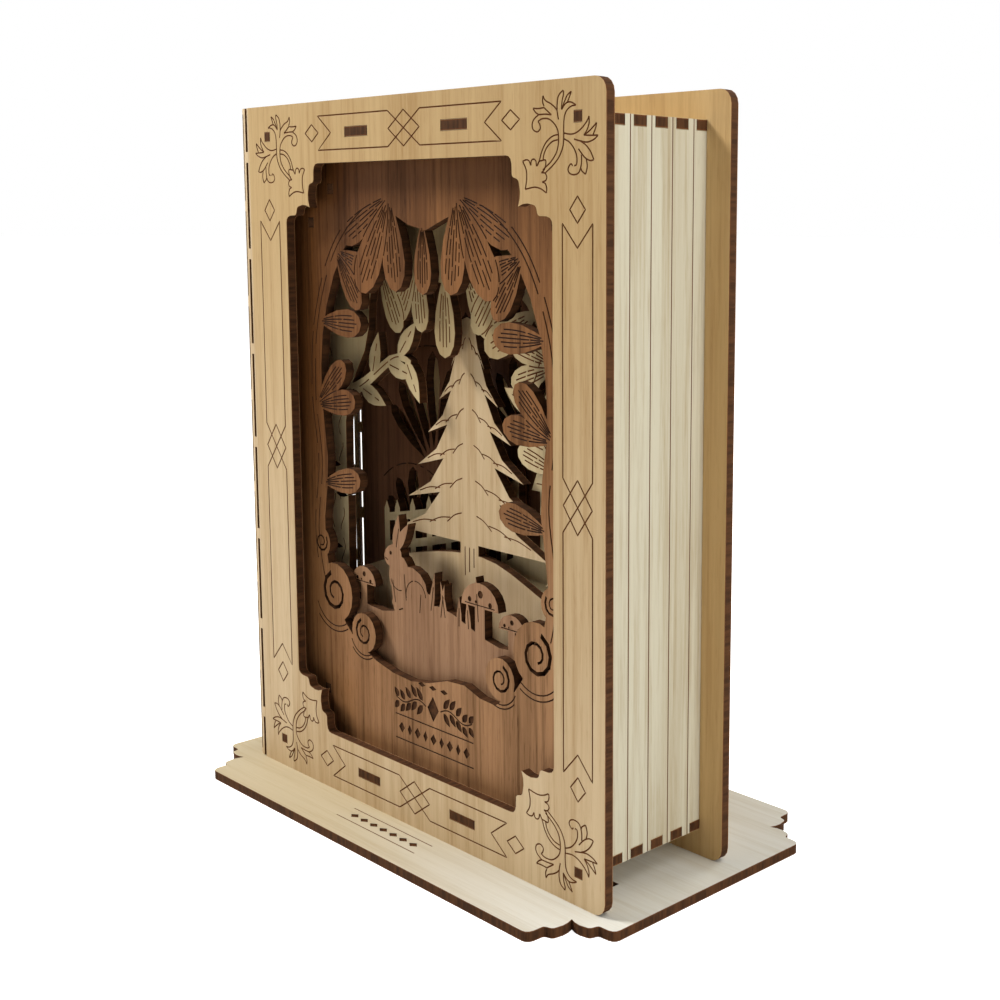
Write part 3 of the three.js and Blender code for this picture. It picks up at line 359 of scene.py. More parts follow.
STRIATIONS = {"X": (0.12, 1, 1), "Y": (1, 0.12, 1), "Z": (1, 1, 0.12), "bend": (1, 1, 1)}


def through(tree, place, axis, pivot):
    """The coordinate through a sheet, or the distance from the axis of its bend."""
    if axis != "bend":
        return coordinate(tree, place, axis)
    flat = maths(tree, "MULTIPLY", place, (1, 1, 0), "ShaderNodeVectorMath")
    return maths(tree, "DISTANCE", flat, (pivot.x, pivot.y, 0), "ShaderNodeVectorMath", "Value")


def sheet_material(name, wood, axis, middle, grain_along="Z", pivot=None, shift=(0, 0, 0), shade_and_tone=()):
    material, tree, skin = new_material(name)
    place = object_place(tree)

    def grouped(group, **values):
        return add_node(tree, "ShaderNodeGroup", {"node_tree": group}, **values).outputs

    laid = moved(tree, place, Location=shift, Rotation=TURNS[grain_along])
    grain = grouped(veneer_grain, Vector=laid, **dict(zip(WOOD_INPUTS, WOODS[wood])))
    wood_colour = grain["Color"]
    for toward, low, high, tint in shade_and_tone:
        turned = moved(tree, place, Rotation=TURNS[toward])
        wood_colour = grouped(painted_shade_and_tone, Vector=turned, Wood=wood_colour, Low=low, High=high, Tint=tint)[0]
    char = grouped(char_skin, Vector=moved(tree, place, Scale=STRIATIONS[axis]))
    cut = grouped(cut_depth, Position=through(tree, place, axis, pivot), Middle=middle, Half=HALF_BOARD)
    burnt = cut["Burnt"]
    scorch = DARK_SCORCH if "walnut" in wood else PALE_SCORCH
    scorched = mix_colours(tree, cut["Shallow"], char["Color"], scorch)
    fill(tree, skin, Base_Color=mix_colours(tree, burnt, wood_colour, scorched),
         Roughness=mix(tree, burnt, grain["Roughness"], CHAR_ROUGHNESS), Specular_IOR_Level=0.1,
         Normal=bumps(tree, mix(tree, burnt, grain["Height"], char["Height"]), 0.25, 0.15 * MM))
    return material


def dress(name, material):
    """Gives a CAD piece its material."""
    piece = nodes[name]
    if not piece.material_slots:
        piece.data.materials.append(material)
    for place in piece.material_slots:
        place.material = material


def middle_of(name, axis):
    low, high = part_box(name)
    i = "XYZ".index(axis)
    return (low[i] + high[i]) / 2


print(len(WOODS), "woods")

# %% Cover and layers get their wood
SHEETS = [
    ("cover_front_board", "cover_veneer", "Y", "Z"), ("cover_back_board", "warm_veneer", "Y", "Z"),
    ("cover_spine", "cover_veneer", "X", "Z"), ("page_panel", "page_veneer", "X", "Z"),
    ("arch_layer", "walnut", "Y", "Z"), ("meadow_layer", "light_walnut", "Y", "Z"),
    ("fir_layer", "cover_veneer", "Y", "Z"), ("fence_layer", "pale_veneer", "Y", "Z"),
    ("forest_layer", "dark_walnut", "Y", "Z"), ("top_panel", "pale_veneer", "Z", "X"),
    ("bottom_panel", "pale_veneer", "Z", "X"), ("base_plate", "base_veneer", "Z", "X"),
]
# a board darkens upwards (Z) or towards the spine (X), from one height or distance to another, by a tint; on
# the layers inside the book this is painted shade
PAINTED_SHADE_AND_TONE = {
    # painted shade: the walnut frame darkens upwards, most in a strip under the top edge of the window, and
    # towards the spine, in the shadow of the front cover
    "arch_layer": [("Z", 0.06, 0.13, (0.68, 0.56, 0.42, 1)), ("Z", 0.17, 0.205, (0.56, 0.5, 0.42, 1)),
                   ("X", -0.01, 0.055, (0.76, 0.68, 0.56, 1))],
    # painted shade: the wood at the back darkens upwards
    "forest_layer": [("Z", 0.06, 0.18, (0.56, 0.46, 0.36, 1))],
    # the front cover turns warmer and darker upwards, and the base plate warmer and darker towards the spine
    "cover_front_board": [("Z", 0.04, 0.2, (0.88, 0.8, 0.64, 1))],
    "base_plate": [("X", -0.1, 0.03, (0.9, 0.78, 0.58, 1))],
}
for i, (name, wood, axis, grain_along) in enumerate(SHEETS):
    dress(name, sheet_material(f"{name}_wood", wood, axis, middle_of(name, axis), grain_along,
                               shift=(0.37 * i, 0.11 * i, 0.23 * i), shade_and_tone=PAINTED_SHADE_AND_TONE.get(name, ())))

bough_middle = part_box("bough_layer")[0].y + HALF_BOARD
# painted shade: the bough layer darkens upwards, inside the top of the window
dress("bough_layer", sheet_material("bough_layer_wood", "pale_veneer", "Y", bough_middle,
                                    shift=(2.3, 0.4, 1.7), shade_and_tone=[("Z", 0.1, 0.17, (0.6, 0.54, 0.45, 1))]))
print(len(SHEETS) + 1, "flat sheets")

# %% Bent sheets
BEND_MIDDLE = BEND_RADIUS * MM - HALF_BOARD
for name, depth in (("cover_front_hinge", BEND_RADIUS), ("cover_back_hinge", BOOK_DEPTH - BEND_RADIUS)):
    pivot = spot(BEND_RADIUS, depth, 0)
    dress(name, sheet_material(f"{name}_wood", "cover_veneer", "bend", BEND_MIDDLE, pivot=pivot))
print("two living hinges")

# %% Rods
for i in range(1, 7):
    name = f"spacer_rod_{i}"
    dress(name, sheet_material(f"{name}_wood", "walnut", "X", middle_of(name, "X"), "Y"))
print("six rods")


# %% [markdown]
# The electrics are moulded plastic, plated steel and lacquer.

# %% Small parts
def plain_finish(name, colour, rough, metal=0.0, relief=0.05):
    material, tree, skin = new_material(name)
    speckle = noise(tree, object_place(tree), 1500, 3)
    lighter = tuple(min(1, c * 1.25 + 0.004) for c in colour[:3]) + (1,)
    fill(tree, skin, Base_Color=mix_colours(tree, speckle, colour, lighter), Metallic=metal,
         Roughness=ramp(tree, speckle, 0.3, 0.7, rough - 0.06, rough + 0.06),
         Normal=bumps(tree, speckle, relief, 0.1 * MM))
    return material


black_plastic = plain_finish("black_plastic", paint(30, 30, 32), 0.5, relief=0.2)
for name in ("battery_holder", "battery_lid", "switch_knob"):
    dress(name, black_plastic)
steel = plain_finish("plated_steel", paint(196, 198, 200), 0.3, metal=1.0)
dress("switch_body", steel)
for i in (1, 2, 3):
    dress(f"spring_contact_{i}", steel)
    dress(f"plate_contact_{i}", steel)
    dress(f"cell_{i}", plain_finish(f"cell_sleeve_{i}", paint(60, 108, 76), 0.35))
dress("light_strip", plain_finish("strip_white", paint(240, 238, 228), 0.5))
for i in range(1, 8):
    dress(f"led_{i}", plain_finish(f"led_gel_{i}", paint(240, 216, 120), 0.35))
dress("red_lead", plain_finish("red_cover", paint(178, 36, 28), 0.45))
dress("black_lead", plain_finish("black_cover", paint(24, 24, 26), 0.45))
print("small parts dressed")

# %% [markdown]
# The ornament is engraved: the laser runs along each line at low power and leaves a thin burnt groove. A
# groove could be painted with a shader, but a real cut catches the light and can be seen from any side. So
# each line is drawn as a curve with a four-sided section, made a mesh, and subtracted from a copy of the
# sheet. The cut-depth group then burns the walls of the groove without further work. Filled marks are
# shallow pockets.

# %% Helpers for meshes
JOIN_WITHIN = 2e-6


def pick(thing):
    """Selects one object alone."""
    bpy.ops.object.select_all(action="DESELECT")
    thing.select_set(True)
    bpy.context.view_layer.objects.active = thing


@contextmanager
def edited(data):
    """A mesh that is opened for changes and written back after them."""
    mesh = bmesh.new()
    mesh.from_mesh(data)
    yield mesh
    mesh.to_mesh(data)
    mesh.free()


def join_corners(data):
    """Joins the corners of a mesh that lie on each other, and drops those without a face."""
    with edited(data) as mesh:
        bmesh.ops.remove_doubles(mesh, verts=mesh.verts, dist=JOIN_WITHIN)
        loose = [corner for corner in mesh.verts if not corner.link_faces]
        bmesh.ops.delete(mesh, geom=loose, context="VERTS")


def join_tiles(mesh):
    """Makes each flat face whole again."""
    bmesh.ops.dissolve_limit(mesh, angle_limit=math.radians(1), verts=mesh.verts, edges=mesh.edges)


def copied(name, node):
    """A copy of a CAD piece with its corners joined."""
    piece = stand(name, nodes[node].data.copy())
    join_corners(piece.data)
    return piece


def modified(piece, kind, **settings):
    """Puts a modifier on a piece and applies it."""
    pick(piece)
    modifier = piece.modifiers.new(kind.lower(), kind)
    for key, value in settings.items():
        setattr(modifier, key, value)
    bpy.ops.object.modifier_apply(modifier=modifier.name)


def coat(piece, *materials):
    piece.data.materials.clear()
    for material in materials:
        piece.data.materials.append(material)


def tubes(name, lines, radius, roundness):
    """A mesh of tubes along lines of points in the frame. Without roundness they have four sides."""
    curve = bpy.data.curves.new(name, "CURVE")
    curve.dimensions = "3D"
    curve.bevel_depth = radius * MM
    curve.bevel_resolution = roundness
    curve.use_fill_caps = True
    for line in lines:
        closed = (line[0] - line[-1]).length < 1e-6
        spline = curve.splines.new("POLY")
        kept = line[:-1] if closed else line
        spline.points.add(len(kept) - 1)
        spline.use_cyclic_u = closed
        for point, place in zip(spline.points, kept):
            point.co = (*place, 1)
    pick(stand(name, curve))
    bpy.ops.object.convert(target="MESH")
    return bpy.context.object


print("mesh helpers ready")


# %% Helpers for lines
def on_curve(before, start, end, after, t):
    """A point of the smooth curve from start to end, at a share t of it, with the points before and after."""
    return 0.5 * (2 * start + (end - before) * t + (2 * before - 5 * start + 4 * end - after) * t ** 2
                  + (3 * start - before - 3 * end + after) * t ** 3)


def smooth_line(points, steps=5):
    """Points on a smooth line through the given points."""
    points = [Vector(p) for p in points]
    if len(points) < 3:
        return points
    padded = [points[0] * 2 - points[1]] + points + [points[-1] * 2 - points[-2]]
    stretches = zip(padded, padded[1:], padded[2:], padded[3:])
    return [on_curve(*four, i / steps) for four in stretches for i in range(steps)] + [points[-1]]


def spread(low, high, steps):
    """Even steps from low to high."""
    return [low + (high - low) * i / steps for i in range(steps + 1)]


def ring(outline):
    """An outline as a line that ends where it starts."""
    return [*outline, outline[0]]


def traced(line, step=0.0004):
    """Closely spaced points along a line, to test how near two lines pass."""
    places = [numpy.array(line[0])]
    for start, end in zip(line, line[1:]):
        count = max(1, math.ceil((end - start).length / step))
        places += [numpy.array(start.lerp(end, i / count)) for i in range(1, count + 1)]
    return numpy.array(places)


def keep_apart(lines, gap=0.0008):
    """Sorts lines into batches, so that no two lines of a batch touch."""
    batches = []
    for line in lines:
        places = traced(line)
        low, high = places.min(axis=0) - gap, places.max(axis=0) + gap
        for batch in batches:
            for _, others, other_low, other_high in batch:
                if (low > other_high).any() or (other_low > high).any():
                    continue
                if numpy.linalg.norm(places[:, None] - others[None], axis=2).min() < gap:
                    break
            else:
                batch.append((line, places, low, high))
                break
        else:
            batches.append([(line, places, low, high)])
    return [[row[0] for row in batch] for batch in batches]


def square_corners(line, near=0.4 * MM, longest=3 * MM):
    """Adds points close to the ends of long stretches, so that a tube is only narrow right at its corners."""
    places = []
    for start, end in zip(line, line[1:]):
        places.append(start)
        length = (end - start).length
        if length > longest:
            places += [start.lerp(end, near / length), start.lerp(end, 1 - near / length)]
    return places + [line[-1]]


print("line helpers ready")

# %% Helpers for engraving
BOLD, RULE, MIDDLING, FINE = 0.26, 0.25, 0.24, 0.22  # half widths of lines, in millimetres
POCKET_DEPTH = 0.35


def groove_cutter(name, lines, half_width):
    """One mesh of four-sided tubes that run along the lines."""
    tool = tubes(name, map(square_corners, lines), half_width, 0)
    join_corners(tool.data)
    return tool


def pocket_cutter(name, outlines, inward):
    """One mesh of prisms that stand out of the face by as much as they go into it."""
    tool = stand(name, bpy.data.meshes.new(name))
    reach = Vector(inward) * POCKET_DEPTH * MM
    with edited(tool.data) as mesh:
        for outline in outlines:
            outer = [mesh.verts.new(place - reach) for place in outline]
            inner = [mesh.verts.new(place + reach) for place in outline]
            mesh.faces.new(outer)
            mesh.faces.new(inner[::-1])
            for i, corner in enumerate(outer):
                mesh.faces.new((outer[i - 1], inner[i - 1], inner[i], corner))
        bmesh.ops.triangulate(mesh, faces=mesh.faces)
        bmesh.ops.recalc_face_normals(mesh, faces=mesh.faces)
    return tool


def cut_away(piece, tool):
    before = len(piece.data.polygons)
    modified(piece, "BOOLEAN", operation="DIFFERENCE", solver="MANIFOLD", object=tool)
    if len(piece.data.polygons) == before:
        print("NO CUT:", tool.name)
    bpy.data.objects.remove(tool)


def turns_round(outline, place):
    """How many times an outline runs round a place."""
    count = 0
    for start, end in zip(outline, outline[1:] + outline[:1]):
        side = (end - start).cross(place - start)
        if start.y <= place.y < end.y and side > 0:
            count += 1
        elif end.y <= place.y < start.y and side < 0:
            count -= 1
    return count


def retiled(data):
    """Fills every many-sided face with triangles: a ragged face with deep bays shades wrongly when whole."""
    with edited(data) as mesh:
        for face in [face for face in mesh.faces if len(face.verts) > 3]:
            corners = list(face.verts)
            from_plane = face.normal.to_track_quat("Z", "Y")
            to_plane = from_plane.inverted()
            flat = [(to_plane @ (corner.co - corners[0].co)).xy / MM for corner in corners]
            points, _, tiles, sources, _, _ = delaunay_2d_cdt(flat, [], [list(range(len(flat)))], 1, 1e-6)
            spots = [corners[source[0]] if source
                     else mesh.verts.new(corners[0].co + from_plane @ (point * MM).to_3d())
                     for point, source in zip(points, sources)]
            for tile in tiles:
                trio = [spots[i] for i in tile]
                centre = sum((points[i] for i in tile), Vector((0, 0))) / 3
                if turns_round(flat, centre) > 0 and mesh.faces.get(trio) is None:
                    mesh.faces.new(trio)
            mesh.faces.remove(face)
        bmesh.ops.triangulate(mesh, faces=mesh.faces)


def engraved(name, node, lines, half_width, pockets=(), inward=(0, 1, 0)):
    """A copy of a CAD sheet, cut by grooves and pockets."""
    piece = copied(name, node)
    for i, batch in enumerate(keep_apart(lines)):
        cut_away(piece, groove_cutter(f"{name}_groove_{i}", batch, half_width))
    for i, batch in enumerate(keep_apart(map(ring, pockets))):
        cut_away(piece, pocket_cutter(f"{name}_pocket_{i}", [outline[:-1] for outline in batch], inward))
    join_corners(piece.data)
    retiled(piece.data)
    for polygon in piece.data.polygons:
        polygon.use_smooth = False
    coat(piece, nodes[node].material_slots[0].material)
    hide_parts(node)
    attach(piece, "lamp")
    print(name, len(lines), "lines,", len(piece.data.polygons), "faces")


def engraved_layer(name, node, lines, half_width, pockets=()):
    """A scene layer, whose lines are given in millimetres across and up its front face."""
    front = (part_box(node)[0].y - book_corner.y) / MM
    lines, pockets = ([[spot(x, front, z) for x, z in line] for line in drawn] for drawn in (lines, pockets))
    engraved(name, node, lines, half_width, pockets)


print("engraving helpers ready")

# %% [markdown]
# The front cover has a border of bands and lozenges, the same at both ends and on both sides, and a sprig
# in each corner. One of each is drawn, and the others are its mirror images. A band that crosses itself is
# cut as several lines.

# %% Bands and lozenges of the cover
def lozenge(x, z, half_width, half_height):
    return [(x - half_width, z), (x, z + half_height), (x + half_width, z), (x, z - half_height)]


end_band = [
    [(75, 215.6), (39, 215.6), (45.8, 210.4), (39, 205.3), (75, 205.3)], [(75, 205.3), (90.2, 215.6)],
    [(75, 215.6), (90.2, 205.3), (125.8, 205.3), (118.9, 210.4), (125.8, 215.6), (90.2, 215.6)],
]
for row in ((129.6, 210.6, 3.6, 2.6), (35.5, 210.6, 3.6, 2.6), (82.6, 210.45, 7.4, 5.15)):
    end_band.append(ring(lozenge(*row)))
side_band = [
    [(149.7, 117.3), (149.7, 183.6), (155.35, 177.4), (161, 183.6), (161, 117.3), (149.7, 102.7)],
    [(149.7, 102.7), (149.7, 36.6), (155.35, 42.8), (161, 36.6), (161, 102.7)],
    [(161, 102.7), (149.7, 117.3)],
]
for row in ((155.4, 187.1, 2.9, 3.4), (155.4, 33.1, 2.9, 3.4), (155.35, 110, 5.5, 7.3)):
    side_band.append(ring(lozenge(*row)))
print("bands drawn")

# %% Corner sprigs
# One sprig drawn on a grid of twentieths of a millimetre, whose corner lies at (118, 222) on the cover.
SPRIG_LEFT, SPRIG_TOP, SPRIG_GRID = 118, 222, 20
SPRIG = [
    [(450, 246), (464, 262), (467, 284), (444, 299), (414, 288), (404, 262), (418, 234), (455, 212)],
    [(455, 212), (430, 198), (411, 178)], [(411, 178), (452, 181), (497, 178)],
    [(497, 178), (522, 196), (554, 217)], [(455, 212), (505, 212), (554, 217)],
    [(497, 172), (486, 148), (489, 118)], [(489, 118), (508, 143), (547, 160), (578, 179), (597, 198)],
    [(450, 246), (482, 234), (532, 237), (572, 260), (599, 292), (607, 330), (604, 372), (588, 412),
     (550, 452), (505, 482), (486, 494)],
    [(738, 177), (702, 181), (669, 200), (651, 232), (646, 280), (646, 338), (638, 384), (608, 434),
     (560, 475), (502, 511)],
    [(607, 243), (598, 204), (597, 160), (609, 122), (643, 98)],
    [(643, 98), (645, 118), (634, 152), (630, 194)],
    [(630, 194), (650, 160), (672, 126), (703, 107)], [(703, 107), (691, 130), (674, 160)],
    [(630, 194), (650, 174), (674, 160), (705, 162), (738, 177)],
    [(604, 318), (560, 326), (512, 354), (478, 400), (460, 444), (441, 474)],
    [(602, 344), (560, 352), (520, 378), (496, 412), (488, 446)],
    [(328, 447), (350, 440), (376, 444), (392, 469)],
    [(392, 469), (397, 445), (415, 437), (432, 448), (438, 475)],
    [(441, 474), (456, 452), (480, 446), (508, 446), (507, 472), (494, 496), (475, 508)],
    [(475, 508), (502, 511), (516, 530), (508, 548), (480, 556)],
    [(480, 556), (505, 565), (516, 590), (513, 612)],
    [(513, 612), (470, 591), (420, 582), (347, 592)], [(347, 592), (359, 540), (355, 490), (328, 447)],
    [(650, 313), (700, 320), (746, 311), (790, 285), (820, 256), (832, 235)],
    [(832, 235), (834, 266), (820, 300), (796, 328)], [(796, 328), (830, 311), (860, 291), (887, 270)],
    [(887, 270), (880, 296), (862, 328)], [(796, 328), (850, 331), (898, 332)],
    [(898, 332), (868, 351), (820, 363), (770, 356), (722, 345)],
    [(650, 342), (690, 360), (725, 395), (743, 432), (742, 470), (724, 478)],
    [(770, 356), (812, 379), (846, 413), (868, 452)], [(868, 452), (838, 454), (800, 437), (755, 394)],
    [(712, 479), (702, 468), (686, 478), (678, 497), (692, 516), (722, 523), (754, 515), (771, 490),
     (778, 455), (777, 424)],
    [(812, 446), (820, 482), (808, 522)], [(808, 522), (782, 506), (772, 490)],
]
sprig_lines = [smooth_line([(SPRIG_LEFT + x / SPRIG_GRID, SPRIG_TOP - y / SPRIG_GRID) for x, y in line], 4)
               for line in SPRIG]
print(len(sprig_lines), "strokes in a sprig")

# %% Engrave the front cover
FACE_LEFT, FACE_WIDTH, FACE_HEIGHT = 14.2, 165.6, 220
BOTH = (False, True)


def on_face(lines, across=(False,), over=(False,)):
    """Lines of the border, placed on the front cover with the mirror images that are asked for."""
    return [[spot((FACE_WIDTH - x if a else x) + FACE_LEFT, 0, FACE_HEIGHT - z if o else z) for x, z in line]
            for line in lines for a in across for o in over]


front_lines = on_face(end_band, over=BOTH) + on_face(side_band, across=BOTH)
front_lines += on_face(sprig_lines, across=BOTH, over=BOTH)
engraved("front_cover", "cover_front_board", front_lines, BOLD)

# %% [markdown]
# The scene layers carry veins, bark and other marks as bold dashes. The marks belong to shapes of the
# solids, so the same outlines are followed here: places on a layer are shares of its width and height, and
# lobes hang from the smooth edge of an opening.

# %% Places on a layer
LAYER_LEFT, LAYER_LOW, LAYER_WIDTH, LAYER_HEIGHT = 24.7, 11.2, 143.2, 197.6


def at(u, v):
    return Vector((LAYER_LEFT + u * LAYER_WIDTH, LAYER_LOW + v * LAYER_HEIGHT))


def heading(angle):
    return Vector((math.cos(angle), math.sin(angle)))


def left_of(direction):
    return Vector((-direction.y, direction.x))


def edge_point(corners, share):
    """A point of an opening's smooth closed edge; its corners are spaced by the root of their distance."""
    count = len(corners)
    whole, part = divmod(share * count, 1)
    before, start, end, after = (corners[(int(whole) + i) % count] for i in (-1, 0, 1, 2))
    first, middle, last = ((q - p).length ** 0.5 for p, q in ((before, start), (start, end), (end, after)))
    leave = (start - before) / first - (end - before) / (first + middle) + (end - start) / middle
    arrive = (end - start) / middle - (after - start) / (middle + last) + (after - end) / last
    leave, arrive = leave * middle, arrive * middle
    return (start + leave * part + (3 * (end - start) - 2 * leave - arrive) * part ** 2
            + (2 * (start - end) + leave + arrive) * part ** 3)


def edge_inward(corners, share):
    """The direction from the edge into its opening."""
    run = edge_point(corners, share + 0.0005) - edge_point(corners, share - 0.0005)
    return Vector((run.y, -run.x)).normalized()


def dashes(line, cuts):
    """Pieces of a line of many points; cuts are the shares where it breaks."""
    ends = [0, *cuts, 1]
    last = len(line) - 1
    pieces = []
    for start, end in zip(ends, ends[1:]):
        low = round(start * last + (0.5 if start else 0))
        high = round(end * last - (0.5 if end < 1 else 0))
        if high - low > 1:
            pieces.append(line[low:high])
    return pieces


def arc(middle, radius, start, end, steps=14):
    """Part of a circle; angles in turns."""
    return [middle + radius * heading(math.tau * turn) for turn in spread(start, end, steps)]


print("layer is", LAYER_WIDTH, "by", LAYER_HEIGHT, "mm")

# %% Veins of the lobes
SPRAY_WIDTH, SPRAY_ROOT, SPRAY_FAN, SPRAY_OUTER = 0.38, 0.14, 0.095, 0.86
LOBE_WIDEST, LOBE_TIP, LOBE_FOOT = 0.7, 0.3, 0.04
VEIN_END, VEIN_END_FALL, VEIN_START_RISE, VEIN_STAGGER = 0.92, 0.16, 0.05, 0.04
VEIN_FILL, VEIN_LEAST, VEIN_GAP, EDGE_OVERLAP = 0.8, 0.12, 0.7, 0.4
SHORT_LOBE = 26


def spray_lobes(corners, rows):
    """Root, direction, length and width of the lobes that hang from an opening's edge, the longest first."""
    lobes = []
    for share, count, length_share, lean in rows:
        middle_length = length_share * LAYER_HEIGHT
        inward = edge_inward(corners, share)
        root = edge_point(corners, share) - inward * SPRAY_ROOT * middle_length
        for i in range(count):
            aside = i - (count - 1) / 2
            angle = math.atan2(inward.y, inward.x) + math.tau * (lean + SPRAY_FAN * aside)
            length = middle_length * SPRAY_OUTER ** abs(aside)
            lobes.append((root, heading(angle), length, SPRAY_WIDTH * length))
    return sorted(lobes, key=lambda lobe: -lobe[2])


def lobe_half(share):
    """Half of a lobe's width at a share of its length, as a share of its greatest half width."""
    if share < LOBE_WIDEST:
        return math.sin(math.pi / 2 * max(0, share) / LOBE_WIDEST)
    return math.sqrt(max(0, 1 - ((share - LOBE_WIDEST) / LOBE_TIP) ** 2))


def on_lobe(lobe, share, aside):
    """A point of a lobe; aside runs from -1 to 1 across it."""
    root, way, length, width = lobe
    return root + way * (share * length) + left_of(way) * (aside * width / 2)


def within(lobe, point, slack):
    root, way, length, width = lobe
    reach = (point - root).dot(way) / length
    across = abs((point - root).dot(left_of(way)))
    return LOBE_FOOT < reach < 1 and across < width / 2 * lobe_half(reach) + slack


def in_any(lobes, point, slack=0.0):
    return any(within(lobe, point, slack) for lobe in lobes)


def visible_runs(line, hidden, shortest):
    """The stretches of a line whose points aren't hidden."""
    runs, run = [], []
    for point in line:
        if hidden(point):
            runs.append(run)
            run = []
        else:
            run.append(point)
    return [stretch for stretch in runs + [run] if len(stretch) >= shortest]


def uneven(low, span, count):
    """One of five shares from low up, so that breaks don't line up."""
    return low + span * (count % 5) / 5


def vein_breaks(lobe, i, k):
    if lobe[2] < SHORT_LOBE:
        return (uneven(0.3, 0.4, 7 * i + 3 * k),)
    return uneven(0.22, 0.2, 7 * i + 3 * k), uneven(0.62, 0.2, 3 * i + 2 * k)


def spray_lines(lobes, count, start):
    """Veins of every lobe, and the outline of a lobe where it lies over another."""
    lines = []
    for k, lobe in enumerate(lobes):
        over, under = lobes[:k], lobes[k + 1:]
        for i in range(count):
            aside = 2 * (i + 1) / (count + 1) - 1
            end = VEIN_END - VEIN_END_FALL * abs(aside)
            low = start + VEIN_START_RISE * abs(aside) + VEIN_STAGGER * (i % 2)
            vein = []
            for share in spread(low, end, 40):
                half = max(VEIN_LEAST, math.sin(math.pi / 2 * min(1, max(0, share / LOBE_WIDEST))))
                vein.append(on_lobe(lobe, share, VEIN_FILL * aside * half))
            for run in visible_runs(vein, lambda point: in_any(over, point, VEIN_GAP), 6):
                lines += dashes(run, vein_breaks(lobe, i, k))
        outline = [on_lobe(lobe, j / 60, lobe_half(j / 60)) for j in range(4, 60)]
        outline += [on_lobe(lobe, j / 60, -lobe_half(j / 60)) for j in range(60, 3, -1)]
        lines += visible_runs(
            outline, lambda point: in_any(over, point) or not in_any(under, point, -EDGE_OVERLAP), 5)
    return lines


print("vein helpers ready")

# %% The walnut frame
ARCH_EDGE = [at(*row) for row in (
    (0.15, 0.27), (0.12, 0.36), (0.14, 0.48), (0.12, 0.60), (0.14, 0.72), (0.22, 0.83), (0.36, 0.89),
    (0.50, 0.86), (0.64, 0.89), (0.78, 0.83), (0.86, 0.72), (0.88, 0.60), (0.86, 0.48), (0.88, 0.36),
    (0.85, 0.27), (0.72, 0.17), (0.60, 0.185), (0.45, 0.16), (0.30, 0.175), (0.20, 0.215))]
ARCH_SPRAYS = [
    (0.085, 1, 0.11, 0.05), (0.14, 2, 0.12, 0.05), (0.195, 1, 0.12, 0.04), (0.243, 2, 0.12, 0),
    (0.308, 3, 0.17, -0.05), (0.35, 1, 0.11, 0), (0.392, 3, 0.17, 0.05), (0.457, 2, 0.12, 0),
    (0.505, 1, 0.12, -0.04), (0.56, 2, 0.12, -0.05), (0.615, 1, 0.11, -0.05),
]
VOLUTES = [(0.155, 0.265, 0.068), (0.265, 0.212, 0.045), (0.845, 0.265, 0.068), (0.735, 0.212, 0.045)]
arch_lines = spray_lines(spray_lobes(ARCH_EDGE, ARCH_SPRAYS), 5, 0.1)
NEAR_BREAKS, FAR_BREAKS = (0.26, 0.47, 0.61, 0.81), (0.17, 0.36, 0.52, 0.7, 0.86)
for start, end, inset, breaks in ((0.01, 0.285, 3.4, NEAR_BREAKS), (0.03, 0.26, 5.4, FAR_BREAKS),
                                  (0.415, 0.69, 3.4, NEAR_BREAKS), (0.44, 0.67, 5.4, FAR_BREAKS)):
    arch_lines += dashes([edge_point(ARCH_EDGE, share) - edge_inward(ARCH_EDGE, share) * inset
                          for share in spread(start, end, 60)], breaks)
for u, v, radius in VOLUTES:
    turn = 0.73 if u < 0.5 else 0.77
    for lift, span in ((1.16, 0.16), (1.34, 0.11)):
        arch_lines.append(arc(at(u, v), radius * LAYER_WIDTH * lift, turn - span, turn + span))
for z in (30.6, 22.8):
    arch_lines.append([Vector((79, z)), Vector((117.6, z))])
print(len(arch_lines), "lines on the walnut frame")

# %% [markdown]
# The lower rail carries a plain garland of cut-out leaves on two bent stalks, with a row of small lozenges
# between two rules under it. The leaves are shallow pockets, which the laser burns darker than a line.

# %% Garland of the walnut frame
GARLAND = Vector((98.3, 36.4))
LEAF_WIDTH = 2.2


def leaf_outline(base, angle, length, steps=6):
    """A leaf, pointed at both ends."""
    way = heading(angle)
    side = left_of(way)
    shares = [i / steps for i in range(steps + 1)]
    halves = [LEAF_WIDTH / 2 * math.sin(math.pi * s ** 0.8) for s in shares]
    upper = [base + way * length * s + side * half for s, half in zip(shares, halves)]
    lower = [base + way * length * s - side * half for s, half in zip(shares, halves)]
    return upper + lower[-2:0:-1]


arch_pockets = [lozenge(GARLAND.x, GARLAND.y, 2.8, 4)]
for side in (-1, 1):
    stalk = [GARLAND + Vector((side * (3.6 + 15.2 * i / 20), 1.2 * math.sin(math.pi * i / 10)))
             for i in range(21)]
    arch_lines.append(stalk)
    for i, base in enumerate(stalk[2:20:4]):
        for tilt in (-1, 1):
            turn = math.radians(50 * tilt) if side > 0 else math.pi - math.radians(50 * tilt)
            arch_pockets.append(leaf_outline(base + Vector((0, 0.7 * tilt)), turn, 4.9 - 0.35 * i))
for i in range(9):
    arch_pockets.append(lozenge(82.3 + 4 * i, 26.7, 1.1 if i % 2 else 1.5, 1.8))
for i in (-1, 0, 1):
    arch_pockets.append(lozenge(GARLAND.x + 5.5 * i, 43, 1.9, 0.8))
engraved_layer("walnut_frame", "arch_layer", arch_lines, BOLD, arch_pockets)

